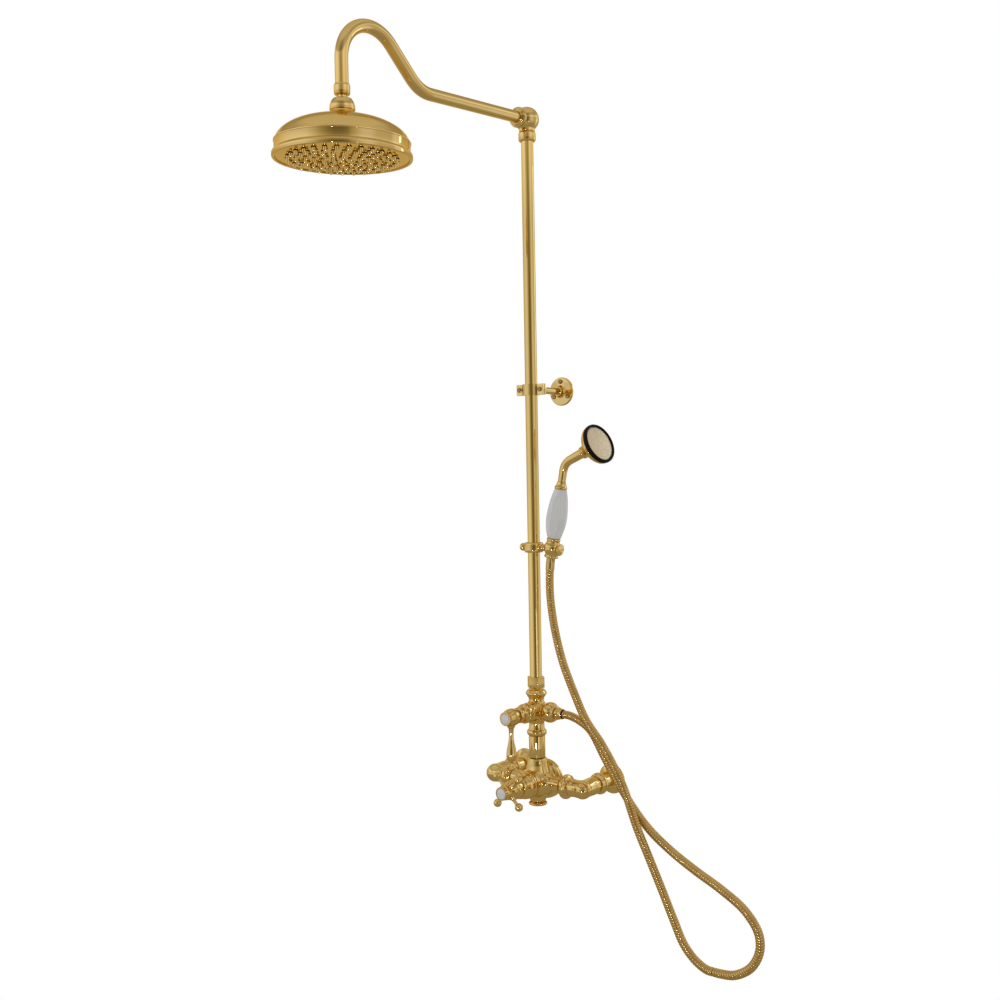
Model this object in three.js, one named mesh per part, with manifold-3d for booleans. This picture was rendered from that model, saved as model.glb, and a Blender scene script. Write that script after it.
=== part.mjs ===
// A wall-mounted rainfall shower column in polished brass with porcelain trim: a thermostatic valve on two
// wall inlets, a diverter, a riser with a swan-neck arm and a rain head, and a hand shower on a slider.
// Millimetres, +Z up. The wall is the plane Y = 0 and the column stands out from it towards -Y.
// The origin lies on the wall, midway between the two inlets.
import * as THREE from "three";
import { mergeVertices } from "three/addons/utils/BufferGeometryUtils.js";
import Module from "manifold-3d";

const wasm = await Module();
wasm.setup();

// Driving dimensions
const AXIS_Y = -89; // riser axis, out from the wall
const INLET_X = 95; // each inlet, either side of the middle
const DIVERTER_Z = 123;
const SLIDER_Z = 405;
const BRACKET_Z = 675;
const ELBOW_Z = 1133; // ball elbow on top of the riser
const RISER_R = 10.5;
const RISER_BORE = 8.7;
const RISER_TOP = ELBOW_Z - 25;
const ARM_R = 10;
const ARM_BORE = 8.4;
const ARM_DROOP = THREE.MathUtils.degToRad(3); // the arm's first run falls slightly
const ARM_RISE = THREE.MathUtils.degToRad(42); // the swan neck's climb
const ARM_BEND = 60; // bend radius of the arm's centre line
const HEAD_Y = -516;
const HEAD_BALL_Z = 1059.5;
const HEAD_R = 100.5;
const HEAD_TILT_X = THREE.MathUtils.degToRad(0.3); // how the head sits on its ball joint
const HEAD_TILT_Y = THREE.MathUtils.degToRad(1.7);
const PIPE_R = 11.5;
const TAIL_R = 12.6; // threaded tails under the union nuts
const ELBOW_R = 15;
const WATERWAY_R = 8;
const CRADLE_X = 40;
const HANDLE_LEAN = THREE.MathUtils.degToRad(11);
const FACE_TURN = THREE.MathUtils.degToRad(-5); // the hand shower stands slightly turned in its cradle
const FACE_PITCH = THREE.MathUtils.degToRad(22.5); // the hand shower's face looks outwards and up
const HOSE_R = 7;
const CROSS_REACH = 33; // cross handle, axis to ball tip
const GAP = 0.3; // clearance between neighbouring pieces
const SIDES = 18;
const HEAD_SIDES = 28;

// Finishes
const brass = new THREE.MeshStandardMaterial({ color: 0xb88e3c, roughness: 0.14, metalness: 1 });
const darkBrass = new THREE.MeshStandardMaterial({ color: 0x8f6d2e, roughness: 0.3, metalness: 1 });
const hoseBrass = new THREE.MeshStandardMaterial({ color: 0xb08a42, roughness: 0.25, metalness: 1 });
const porcelain = new THREE.MeshStandardMaterial({ color: 0xe9e8e6, roughness: 0.08, metalness: 0 });
const rubber = new THREE.MeshStandardMaterial({ color: 0x1c1b1a, roughness: 0.6, metalness: 0 });
const paleFace = new THREE.MeshStandardMaterial({ color: 0xe2d9bd, roughness: 0.35, metalness: 0.4 });
const acetal = new THREE.MeshStandardMaterial({ color: 0xd8d6cf, roughness: 0.5, metalness: 0 });

const UP = new THREE.Vector3(0, 0, 1);
const X = new THREE.Vector3(1, 0, 0);
const OUT = new THREE.Vector3(0, -1, 0); // out from the wall
const part = new THREE.Group();

// Adds one named piece to a group.
function add(name, geometry, finish, group = part) {
  const mesh = new THREE.Mesh(geometry, finish);
  mesh.name = name;
  group.add(mesh);
  return mesh;
}

// A closed geometry as a manifold solid.
function solid(geometry) {
  const bare = new THREE.BufferGeometry();
  bare.setAttribute("position", geometry.getAttribute("position"));
  bare.setIndex(geometry.getIndex());
  const merged = mergeVertices(bare, 1e-4);
  return new wasm.Manifold(
    new wasm.Mesh({
      numProp: 3,
      vertProperties: merged.getAttribute("position").array,
      triVerts: new Uint32Array(merged.getIndex().array),
    }),
  );
}

// A manifold solid back as a geometry.
function geometryOf(body) {
  const mesh = body.getMesh();
  const geometry = new THREE.BufferGeometry();
  geometry.setAttribute("position", new THREE.BufferAttribute(mesh.vertProperties, 3));
  geometry.setIndex(new THREE.BufferAttribute(mesh.triVerts, 1));
  return geometry.toNonIndexed();
}

// Joins the first list of geometries and cuts the second list from them.
function carve(joined, cuts = []) {
  let body = solid(joined[0]);
  for (const g of joined.slice(1)) body = body.add(solid(g));
  for (const g of cuts) body = body.subtract(solid(g));
  return geometryOf(body);
}

// Points a geometry's +Z along an axis and moves it to a place.
function aim(geometry, axis, at) {
  const turn = new THREE.Quaternion().setFromUnitVectors(UP, axis.clone().normalize());
  geometry.applyQuaternion(turn);
  geometry.translate(...at);
  return geometry;
}

// A turned piece: outline rows are [radius, distance along the axis], starting and ending on the axis
// or closing on themselves.
function turned(outline, axis = UP, at = [0, 0, 0], sides = SIDES) {
  const points = outline.map(([r, t]) => new THREE.Vector2(r, t));
  if (THREE.ShapeUtils.area(points) < 0) points.reverse();
  const geometry = new THREE.LatheGeometry(points, sides);
  geometry.rotateX(Math.PI / 2);
  return aim(geometry, axis, at);
}

// A plain rod, and a rod with a straight bore.
const rod = (r, from, to, axis, at, sides) =>
  turned([[0, from], [r, from], [r, to], [0, to]], axis, at, sides);
const sleeve = (bore, r, from, to, axis, at, sides) =>
  turned([[bore, from], [r, from], [r, to], [bore, to], [bore, from]], axis, at, sides);

// A hexagonal nut with a round bore.
function hexNut(acrossCorners, bore, from, to, axis, at) {
  const hex = new THREE.Shape();
  for (let i = 0; i < 6; i++) {
    const a = (i * Math.PI) / 3;
    const x = (acrossCorners / 2) * Math.cos(a);
    const y = (acrossCorners / 2) * Math.sin(a);
    if (i) hex.lineTo(x, y);
    else hex.moveTo(x, y);
  }
  hex.closePath();
  hex.holes.push(new THREE.Path().absarc(0, 0, bore, 0, Math.PI * 2, true));
  const geometry = new THREE.ExtrudeGeometry(hex, { depth: to - from, bevelEnabled: false, curveSegments: 12 });
  geometry.translate(0, 0, from);
  return aim(geometry, axis, at);
}

// A round tube or rod along a curve.
function piped(curve, r, bore, steps, sides = 12) {
  const ring = new THREE.Shape().absarc(0, 0, r, 0, Math.PI * 2);
  if (bore) ring.holes.push(new THREE.Path().absarc(0, 0, bore, 0, Math.PI * 2, true));
  return new THREE.ExtrudeGeometry(ring, { extrudePath: curve, steps, curveSegments: sides / 2 });
}

// Wall inlet: flange, pipe, nut, elbow and union nut, for one side (-1 left, 1 right).
function buildInlet(side) {
  const name = side < 0 ? "left" : "right";
  const foot = [side * INLET_X, 0, 0];
  const corner = [side * INLET_X, AXIS_Y, 0];
  const inward = X.clone().multiplyScalar(-side);
  const flange = [[11.8, 0], [26, 0], [26, 3], [23, 7], [17, 10], [14, 14], [11.8, 14], [11.8, 0]];
  add(`${name}_wall_flange`, turned(flange, OUT, foot), brass);
  add(`${name}_inlet_pipe`, sleeve(WATERWAY_R, PIPE_R, 0, 46, OUT, foot), brass);
  const ring = [[12.9, 34], [15, 34], [18.4, 39], [18.4, 44], [15.5, 50], [12.9, 50], [12.9, 34]];
  add(`${name}_elbow_nut`, turned(ring, OUT, foot), brass);
  const leg = (neck, end) => [[0, 0], [ELBOW_R, 0], [ELBOW_R, neck], [TAIL_R, neck], [TAIL_R, end], [0, end]];
  const legs = [
    new THREE.SphereGeometry(15.8, 16, 10).rotateX(Math.PI / 2).translate(...corner),
    turned(leg(33.6, 42.5), new THREE.Vector3(0, 1, 0), corner),
    turned(leg(24.6, 34.5), inward, corner),
  ];
  const ways = [
    rod(WATERWAY_R, -0.5, 43, new THREE.Vector3(0, 1, 0), corner, 12),
    rod(WATERWAY_R, -0.5, 35, inward, corner, 12),
  ];
  add(`${name}_elbow`, carve(legs, ways), brass);
  const union = [[12.9, 25], [17, 25], [20.8, 31], [20.8, 35], [16, 43], [12.9, 43], [12.9, 25]];
  add(`${name}_union_nut`, turned(union, inward, corner), brass);
}

// Thermostatic valve: body with its round rear drum, cartridge, bonnet, bottom cap and outlet tube.
function buildValve() {
  const middle = [0, AXIS_Y, 0];
  const drum = [
    [0, -40], [22, -39], [30, -34], [34, -28], [34, -20], [31, -18], [27, -16],
    [27, 14], [23, 28], [0, 28],
  ];
  const body = [
    turned(drum, OUT, middle, 24),
    rod(TAIL_R, -60, 60, X, middle),
    turned([[0, 0], [22, 22], [18.5, 33], [15, 41.7], [0, 41.7]], UP, middle),
    turned([[0, -33.4], [13, -33.4], [18, -24], [18, 0], [0, 0]], UP, middle),
  ];
  const cuts = [
    rod(WATERWAY_R, -61, 61, X, middle, 12),
    rod(9.4, -1, 42, UP, middle, 12),
    rod(13.4, -20, 29, OUT, middle),
  ];
  add("valve_body", carve(body, cuts), brass);
  const cartridge = [
    [0, -17], [10, -17], [10, -6], [13, -6], [13, 52], [5, 52], [5, 62], [0, 62],
  ];
  add("thermostatic_cartridge", turned(cartridge, OUT, middle), darkBrass);
  const bonnet = [
    [13.4, 28.4], [23.5, 28.4], [23.5, 40], [20.6, 43], [19.6, 52], [18, 58], [13.4, 58], [13.4, 28.4],
  ];
  add("valve_bonnet", turned(bonnet, OUT, middle), brass);
  const cap = [[0, -42], [10, -42], [15, -40], [16, -37.6], [15, -35], [11, -33.8], [0, -33.8]];
  add("bottom_cap", turned(cap, UP, middle), brass);
  add("lower_tube", sleeve(9.5, 14, 42, 79.8, UP, middle), brass);
}

// Cross handle for temperature: four ball-tipped spokes, with a porcelain button.
function buildCrossHandle() {
  const middle = [0, AXIS_Y, 0];
  const hub = [[0, 70], [5.4, 70], [5.4, 60], [17, 60], [16.4, 72], [14, 80], [12, 90], [11.4, 97], [0, 97]];
  const pieces = [turned(hub, OUT, middle, 20)];
  const spokeTurn = THREE.MathUtils.degToRad(45);
  for (let i = 0; i < 4; i++) {
    const a = spokeTurn + (i * Math.PI) / 2;
    const along = new THREE.Vector3(Math.cos(a), 0, Math.sin(a));
    const root = [0, AXIS_Y - 81.8, 0];
    const spoke = [[0, 6], [5, 6], [2.9, 16], [2.9, CROSS_REACH], [0, CROSS_REACH]];
    const tip = along.clone().multiplyScalar(CROSS_REACH).add(new THREE.Vector3(...root));
    pieces.push(turned(spoke, along, root, 8));
    pieces.push(new THREE.SphereGeometry(6.5, 12, 8).translate(...tip.toArray()));
  }
  add("cross_handle", carve(pieces), brass);
  const button = [[0, 97.3], [9.4, 97.3], [9.4, 99], [7.6, 100.6], [0, 101.4]];
  add("cross_handle_cap", turned(button, OUT, middle), porcelain);
}

// Diverter above the valve, its cartridge and bonnet, and the nut of the hose outlet.
function buildDiverter() {
  const foot = [0, AXIS_Y, 0];
  const middle = [0, AXIS_Y, DIVERTER_Z];
  const column = [
    [0, 80.2], [15, 80.2], [17, 84], [17, 89], [13.5, 94], [13, 104], [17, 114], [17, 132],
    [13.2, 139], [13.2, 146], [16, 149], [18.2, 154], [16, 159], [11.5, 162.5], [0, 162.5],
  ];
  const body = [
    turned(column, UP, foot),
    rod(13, 0, 20, X, middle),
    turned([[0, 0], [16, 0], [16, 26], [14.5, 29.6], [0, 29.6]], OUT, middle),
  ];
  const cuts = [
    rod(WATERWAY_R, 80, 163, UP, foot, 12),
    rod(7.6, 0, 21, X, middle, 12),
    rod(9.4, -4, 30, OUT, middle, 16),
  ];
  add("diverter_body", carve(body, cuts), brass);
  const cartridge = [[0, 0], [9, 0], [9, 50], [4, 50], [4, 62], [0, 62]];
  add("diverter_cartridge", turned(cartridge, OUT, middle, 16), darkBrass);
  const bonnet = [[9.4, 30], [16.5, 30], [16.5, 38], [13, 44], [12, 55.5], [9.4, 55.5], [9.4, 30]];
  add("diverter_bonnet", turned(bonnet, OUT, middle), brass);
  const nut = [[7.6, 20.4], [13, 20.4], [17.5, 27], [17.5, 35], [13, 43], [7.6, 43], [7.6, 20.4]];
  add("hose_outlet_nut", turned(nut, X, middle), brass);
}

// Diverter lever: a round hub with a turned stem hanging from it, and a porcelain button.
function buildLever() {
  const middle = [0, AXIS_Y, DIVERTER_Z];
  const hub = [[0, 64], [4.4, 64], [4.4, 57], [11, 57], [14.5, 65], [14.8, 73], [12.5, 82], [0, 82]];
  const root = [0, AXIS_Y - 70.5, DIVERTER_Z];
  const stem = [[0, 8], [6, 8], [3.6, 26], [4.4, 40], [8.8, 60], [8.4, 66], [5.5, 72], [0, 74]];
  const down = new THREE.Vector3(0, 0, -1);
  add("diverter_lever", carve([turned(hub, OUT, middle), turned(stem, down, root, 16)]), brass);
  const button = [[0, 82.4], [8.8, 82.4], [8.8, 84.6], [7, 87], [0, 87.8]];
  add("lever_cap", turned(button, OUT, middle), porcelain);
}

// Riser tube with the nut that grips its foot and the collar at its top.
function buildRiser() {
  const foot = [0, AXIS_Y, 0];
  add("riser_nut", hexNut(31, RISER_R + GAP, 163, 181.5, UP, foot), brass);
  add("riser_tube", sleeve(RISER_BORE, RISER_R, 163, RISER_TOP, UP, foot), brass);
  const collar = [
    [RISER_R + GAP, RISER_TOP - 12.5], [14, RISER_TOP - 12.5], [14.8, RISER_TOP - 8], [14.8, RISER_TOP + 1],
    [12.5, RISER_TOP + 2.5], [RISER_R + GAP, RISER_TOP + 2.5], [RISER_R + GAP, RISER_TOP - 12.5],
  ];
  add("riser_top_collar", turned(collar, UP, foot), brass);
}

// Wall bracket: screwed flange, rod and a split clamp round the riser.
function buildBracket() {
  const foot = [0, 0, BRACKET_Z];
  const screwCircle = 17.5;
  const angles = [90, 210, 330].map((a) => THREE.MathUtils.degToRad(a));
  const places = angles.map((a) => [screwCircle * Math.cos(a), 0, BRACKET_Z + screwCircle * Math.sin(a)]);
  const plate = [[0, 0], [25, 0], [25, 3.6], [23, 5], [9.5, 5], [8.4, 9], [8.4, 15], [6.2, 15], [6.2, 6], [0, 6]];
  const holes = places.map((p) => rod(2.3, -1, 8, OUT, p, 10));
  add("bracket_flange", carve([turned(plate, OUT, foot)], holes), brass);
  places.forEach((p, i) => {
    const screw = [[0, 0.5], [1.9, 0.5], [1.9, 5.3], [4, 5.3], [3.4, 7], [0, 7.6]];
    add(`flange_screw_${i + 1}`, turned(screw, OUT, p, 12), darkBrass);
  });
  const reach = -AXIS_Y - 15.4;
  add("bracket_rod", rod(5.9, 6.4, reach, OUT, foot, 16), brass);

  const half = new THREE.Shape();
  const bandR = 14.4;
  const earX = 28.5;
  const earY = 4.8;
  const split = 0.5;
  const earRoot = Math.acos(earY / bandR);
  half.moveTo(Math.sqrt((RISER_R + GAP) ** 2 - split ** 2), -split);
  half.lineTo(earX, -split);
  half.lineTo(earX, -earY);
  half.lineTo(bandR * Math.sin(earRoot), -earY);
  half.absarc(0, 0, bandR, earRoot - Math.PI / 2, -earRoot - Math.PI / 2, true);
  half.lineTo(-earX, -earY);
  half.lineTo(-earX, -split);
  half.lineTo(-Math.sqrt((RISER_R + GAP) ** 2 - split ** 2), -split);
  const mouth = Math.asin(split / (RISER_R + GAP));
  half.absarc(0, 0, RISER_R + GAP, -Math.PI + mouth, -mouth, false);
  const tall = 18;
  const band = new THREE.ExtrudeGeometry(half, { depth: tall, bevelEnabled: false, curveSegments: 12 });
  band.translate(0, 0, BRACKET_Z - tall / 2);
  const ears = [-1, 1].map((s) => [s * 22, AXIS_Y, BRACKET_Z]);
  const bores = () => ears.map((p) => rod(2.4, -8, 8, OUT, p, 10));
  const front = band.clone().translate(0, AXIS_Y, 0);
  add("clamp_front", carve([front], bores()), brass);
  const rear = band.clone().rotateZ(Math.PI).translate(0, AXIS_Y, 0);
  add("clamp_rear", carve([rear], bores()), brass);
  ears.forEach((p, i) => {
    const screw = [[0, -6.5], [1.9, -6.5], [1.9, 5.1], [4.2, 5.1], [3.6, 7], [0, 7.6]];
    add(`clamp_screw_${i ? "right" : "left"}`, turned(screw, OUT, p, 12), darkBrass);
  });
}

// Centre line of the arm: a slightly falling run, a climb, and a turn over the top to point down.
function armLine() {
  const start = new THREE.Vector3(0, AXIS_Y - 21.6, ELBOW_Z - 1.1);
  const overY = HEAD_Y + ARM_BEND;
  const overZ = 1129;
  const at = (y, z, a) => new THREE.Vector3(0, y - ARM_BEND * Math.sin(a), z + ARM_BEND * Math.cos(a));
  const climbTop = at(overY, overZ, -ARM_RISE);
  const out = new THREE.Vector3(0, -Math.cos(ARM_DROOP), -Math.sin(ARM_DROOP));
  const climb = new THREE.Vector3(0, -Math.cos(ARM_RISE), Math.sin(ARM_RISE));
  const across = climbTop.clone().sub(start);
  const det = out.y * climb.z - out.z * climb.y;
  const along = (across.y * climb.z - across.z * climb.y) / det;
  const corner = start.clone().addScaledVector(out, along);
  const setback = ARM_BEND * Math.tan((ARM_RISE + ARM_DROOP) / 2);
  const bendIn = corner.clone().addScaledVector(out, -setback);
  const bendOut = corner.clone().addScaledVector(climb, setback);
  const line = new THREE.CurvePath();
  line.add(new THREE.LineCurve3(start, bendIn));
  line.add(new THREE.QuadraticBezierCurve3(bendIn, corner, bendOut));
  line.add(new THREE.LineCurve3(bendOut, climbTop));
  const over = [];
  const turns = 12;
  for (let i = 0; i <= turns; i++) {
    over.push(at(overY, overZ, -ARM_RISE + ((Math.PI / 2 + ARM_RISE) * i) / turns));
  }
  line.add(new THREE.CatmullRomCurve3(over));
  line.add(new THREE.LineCurve3(over[turns], new THREE.Vector3(0, HEAD_Y, HEAD_BALL_Z + 22)));
  return line;
}

// Ball elbow, arm and the ball that the rain head hangs from.
function buildArm() {
  const ball = [0, AXIS_Y, ELBOW_Z];
  const knuckle = [
    new THREE.SphereGeometry(20.8, SIDES, 12).rotateX(Math.PI / 2).translate(...ball),
    rod(9, -21.8, 0, UP, ball, 16),
  ];
  const ways = [rod(6, -23, 0.5, UP, ball, 10), rod(6, -0.5, 22, OUT, ball, 10)];
  add("elbow_ball", carve(knuckle, ways), brass);
  const run = new THREE.Vector3(0, -Math.cos(ARM_DROOP), -Math.sin(ARM_DROOP));
  const nut = [[10.3, 21.3], [14.6, 21.3], [17, 23.5], [17, 27], [14, 30], [10.3, 30], [10.3, 21.3]];
  add("arm_nut", turned(nut, run, ball), brass);
  add("shower_arm", piped(armLine(), ARM_R, ARM_BORE, 40, 10), brass);
  const socket = [0, HEAD_Y, HEAD_BALL_Z];
  const collar = [
    [0, 18], [10.2, 18], [11.8, 20], [11.8, 31], [11.2, 33], [10.3, 33], [10.3, 21.5], [0, 21.5],
  ];
  add("arm_end_collar", turned(collar, UP, socket), brass);
  const ballR = 14;
  const stemR = 6.4;
  const stemFrom = Math.acos(stemR / ballR);
  const bead = [];
  for (let i = 0; i <= 10; i++) {
    const a = -Math.PI / 2 + (i / 10) * (Math.PI / 2 + stemFrom);
    bead.push([ballR * Math.cos(a), ballR * Math.sin(a)]);
  }
  bead[0][0] = 0;
  add("swivel_ball", turned([...bead, [stemR, 17.7], [0, 17.7]], UP, socket), brass);
}

// Rain head on its ball joint: seat ring, ball cover, dome, gasket and spray plate.
function buildRainHead() {
  const head = new THREE.Group();
  head.position.set(0, HEAD_Y, HEAD_BALL_Z);
  head.rotation.set(HEAD_TILT_X, HEAD_TILT_Y, 0);
  part.add(head);
  const arc = (r, from, to, steps) =>
    Array.from({ length: steps + 1 }, (_, i) => {
      const a = from + ((to - from) * i) / steps;
      return [r * Math.cos(a), r * Math.sin(a)];
    });
  const seat = [...arc(14.3, -0.7, 0.28, 6), ...arc(15.5, 0.28, -0.7, 6)];
  add("ball_seat", turned([...seat, seat[0]], UP, [0, 0, 0]), acetal, head);
  const cover = [
    [16, -12.9], [23, -12.9], [22.2, -10.4], [19, -6.4], ...arc(18.2, -0.1, 0.75, 6),
    [11.9, 11.6], [11.9, 8.6], ...arc(15.9, 0.55, 0, 5), [16, -8], [16, -12.9],
  ];
  add("ball_cover", turned(cover), brass, head);
  const skin = [
    [17, -15.4], [24, -15.2], [38, -16.7], [51, -19.3], [64, -23.3], [75, -28.2], [83, -33.4], [88, -38],
    [92, -43.2], [94, -48], [95.4, -54], [95.4, -72.2], [98.6, -72.6], [HEAD_R, -70.6], [HEAD_R, -66.5], [99, -64.4],
    [97.2, -62.6], [97, -48.4], [95.6, -46.4], [93.6, -42], [89.5, -36.7], [84, -32], [75, -26.4], [64, -21.6],
    [51, -17.6], [38, -15], [24, -12.6], [23.4, -11.6], [23.4, -13.2], [17, -13.2], [17, -15.4],
  ];
  add("head_dome", turned(skin, UP, [0, 0, 0], HEAD_SIDES), brass, head);
  add("head_gasket", sleeve(90, 95, -69.3, -67, UP, [0, 0, 0], HEAD_SIDES), rubber, head);
  const plate = [[0, -72.4], [60, -72.1], [95, -71.3], [95, -69.6], [0, -69.6]];
  add("spray_plate", turned(plate, UP, [0, 0, 0], HEAD_SIDES), brass, head);
}

// Slider on the riser: clamp body with its lining and thumb knob, and the tilting cradle.
function buildSlider() {
  const middle = [0, AXIS_Y, SLIDER_Z];
  const band = [[12.9, -8.5], [15.2, -8.5], [16.6, -6], [16.6, 6], [15.2, 8.5], [12.9, 8.5], [12.9, -8.5]];
  const body = [turned(band, UP, middle), turned([[0, 14], [7, 14], [5.4, 18], [5.4, 25.5], [0, 25.5]], X, middle, 16)];
  const left = X.clone().negate();
  body.push(rod(5.4, 14, 17.8, left, middle, 16));
  const cuts = [rod(12.9, -9, 9, UP, middle), rod(2.8, 10, 20, left, middle, 10)];
  add("slider_clamp", carve(body, cuts), brass);
  add("slider_lining", sleeve(RISER_R + GAP, 12.6, -8, 8, UP, middle), acetal);
  const knob = [[0, 13], [2.4, 13], [2.4, 18.2], [5, 18.2], [6.8, 20.6], [6.8, 24.6], [4.6, 27.6], [0, 28.4]];
  add("slider_knob", turned(knob, left, middle, 16), brass);

  const cradle = new THREE.Group();
  cradle.position.set(CRADLE_X, AXIS_Y, SLIDER_Z);
  cradle.rotation.y = HANDLE_LEAN;
  part.add(cradle);
  const cup = [
    [9.9, -16], [11.2, -16.6], [12, -15], [11.6, -12], [14, -5], [14, 5], [11.6, 11], [12.6, 15],
    [12, 16.6], [9.9, 16.6], [9.9, -16],
  ];
  add("cradle", turned(cup), brass, cradle);
  const screw = [[0, 14.4], [10, 14.4], [10.6, 15.6], [10.6, 16.8], [9.4, 17.8], [0, 17.8]];
  add("cradle_screw", turned(screw, X), darkBrass, cradle);
  return cradle;
}

// Hand shower: hose cone, porcelain handle, ferrule, bent neck, bell, rubber ring and face plate.
function buildHandShower(cradle) {
  const cone = [[0, -17], [8.9, -17], [9.3, -12], [9.3, 10], [8.6, 17.2], [0, 17.2]];
  add("hose_cone", turned(cone), brass, cradle);
  const grip = [[0, 17.6], [11.8, 17.6], [15.6, 32], [17.4, 48], [17, 66], [15, 82], [12, 96], [10.6, 102], [0, 102]];
  add("porcelain_handle", turned(grip, UP, [0, 0, 0], 12), porcelain, cradle);
  const ferrule = [[0, 102.4], [10.8, 102.4], [11, 105], [8.4, 112], [7.6, 114.6], [0, 114.6]];
  add("handle_ferrule", turned(ferrule), brass, cradle);

  const lean = new THREE.Vector3(Math.sin(HANDLE_LEAN), 0, Math.cos(HANDLE_LEAN));
  const facing = new THREE.Vector3(Math.cos(FACE_PITCH), 0, Math.sin(FACE_PITCH)).applyAxisAngle(lean, FACE_TURN);
  const centre = new THREE.Vector3(CRADLE_X, AXIS_Y, SLIDER_Z);
  const start = centre.clone().addScaledVector(lean, 115);
  const corner = centre.clone().addScaledVector(lean, 146);
  const end = corner.clone().addScaledVector(facing, 42);
  const neck = new THREE.CurvePath();
  const ease = 14;
  const before = corner.clone().addScaledVector(lean, -ease);
  const after = corner.clone().addScaledVector(facing, ease);
  neck.add(new THREE.LineCurve3(start, before));
  neck.add(new THREE.QuadraticBezierCurve3(before, corner, after));
  neck.add(new THREE.LineCurve3(after, end));
  add("handset_neck", piped(neck, 7.2, 0, 14, 12), brass);
  const at = end.toArray();
  const bell = [
    [0, 0.4], [9, 0.4], [11, 3], [11, 6], [14, 10], [25, 20], [32, 29], [33.6, 36],
    [31.2, 36], [23, 24], [12, 13], [0, 12],
  ];
  add("handset_bell", turned(bell, facing, at, 24), brass);
  const ring = [[29.8, 36.4], [33.8, 36.4], [34, 40], [32.5, 43], [29.8, 43], [29.8, 36.4]];
  add("handset_ring", turned(ring, facing, at, 24), rubber);
  const face = [[0, 37.6], [29.4, 37.6], [29.4, 40.6], [20, 41.8], [0, 42.4]];
  add("handset_face", turned(face, facing, at, 24), paleFace);
}

// The hose, as it hangs: from the diverter's outlet, round the loop and up into the cradle.
const HOSE_LOWER = [
  [57.6, -89, 123], [72, -89, 122], [89, -87, 116], [109, -84, 102], [138, -81, 55], [180, -80, -5],
  [217, -80, -44], [259, -81, -72], [304, -83, -94], [352, -84, -115], [391, -85, -137], [413, -86, -162],
  [418, -86, -180], [416, -87, -200], [402, -88, -224], [376, -89, -241], [352, -89, -245.2], [340, -89, -245.6],
];
const HOSE_UPPER = [
  [339, -89, -245.6], [327, -89, -245], [308, -90, -235], [289, -92, -214], [272, -94, -178],
  [252, -96, -133], [231, -97, -89], [208, -98, -41], [180, -98, 26], [143, -98, 83], [109, -96, 121],
  [82, -94, 168], [59, -92, 216], [44, -91, 266], [35, -90, 316], [33, -89, 350], [35.2, -89, 380.5],
  [36.6, -89, 387.8],
];

function buildHose() {
  const tail = [[0, 43.4], [10.4, 43.4], [10.4, 50], [9, 52], [9, 56.5], [0, 56.5]];
  add("hose_nut", turned(tail, X, [0, AXIS_Y, DIVERTER_Z]), brass);
  const curve = (rows) => new THREE.CatmullRomCurve3(rows.map((p) => new THREE.Vector3(...p)));
  add("hose_lower", piped(curve(HOSE_LOWER), HOSE_R, 0, 30, 10), hoseBrass);
  add("hose_upper", piped(curve(HOSE_UPPER), HOSE_R, 0, 34, 10), hoseBrass);
}

buildInlet(-1);
buildInlet(1);
buildValve();
buildCrossHandle();
buildDiverter();
buildLever();
buildRiser();
buildBracket();
buildArm();
buildRainHead();
buildHandShower(buildSlider());
buildHose();

export default part;
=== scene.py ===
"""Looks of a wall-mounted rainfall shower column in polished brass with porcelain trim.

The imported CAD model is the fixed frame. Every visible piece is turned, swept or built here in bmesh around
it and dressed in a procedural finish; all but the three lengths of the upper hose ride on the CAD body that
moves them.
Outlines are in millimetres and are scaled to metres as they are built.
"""

from __future__ import annotations

import logging
import math
import random
from dataclasses import dataclass, field
from enum import Enum
from typing import Sequence

import bmesh
import bpy
from mathutils import Matrix, Vector


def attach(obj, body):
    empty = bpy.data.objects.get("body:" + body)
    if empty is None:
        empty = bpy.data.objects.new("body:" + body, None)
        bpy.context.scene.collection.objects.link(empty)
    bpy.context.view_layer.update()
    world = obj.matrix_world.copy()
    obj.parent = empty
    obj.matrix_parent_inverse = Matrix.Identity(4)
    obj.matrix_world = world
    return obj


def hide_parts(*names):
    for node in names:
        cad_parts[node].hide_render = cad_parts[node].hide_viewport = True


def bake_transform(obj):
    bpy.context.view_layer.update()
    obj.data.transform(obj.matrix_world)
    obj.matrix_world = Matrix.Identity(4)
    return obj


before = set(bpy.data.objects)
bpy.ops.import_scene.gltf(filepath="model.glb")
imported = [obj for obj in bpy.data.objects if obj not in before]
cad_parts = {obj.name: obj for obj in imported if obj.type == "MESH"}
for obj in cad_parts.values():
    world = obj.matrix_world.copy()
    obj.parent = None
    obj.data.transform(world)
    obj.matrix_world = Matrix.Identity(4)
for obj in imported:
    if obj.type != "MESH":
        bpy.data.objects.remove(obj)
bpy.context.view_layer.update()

log = logging.getLogger("shower_column")

Row = tuple[float, ...]
Outline = Sequence[Row]

MM = 0.001
TURN = 2 * math.pi
SHARP_ANGLE = math.radians(38)
EASE_STEPS = 5

AXIS_Y = -89.0
INLET_X = 95.0
DIVERTER_Z = 123.0
SLIDER_Z = 405.0
BRACKET_Z = 675.0
ELBOW_Z = 1133.0
RISER_TOP = ELBOW_Z - 25
HEAD_Y = -516.0
HEAD_BALL_Z = 1059.5
CRADLE_X = 40.0
ARM_DROOP = math.radians(3)
ARM_RISE = math.radians(42)
ARM_BEND = 60.0
HANDLE_LEAN = math.radians(11)
FACE_PITCH = math.radians(22.5)
FACE_TURN = math.radians(-5)
HEAD_TILT_X = math.radians(0.3)
HEAD_TILT_Y = math.radians(1.7)
HOSE_R = 7.0

LAMP_TINT = (0.6, 0.74, 1.0)
LAMP_AIM = Vector((0, -0.1, 0.45))

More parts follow.
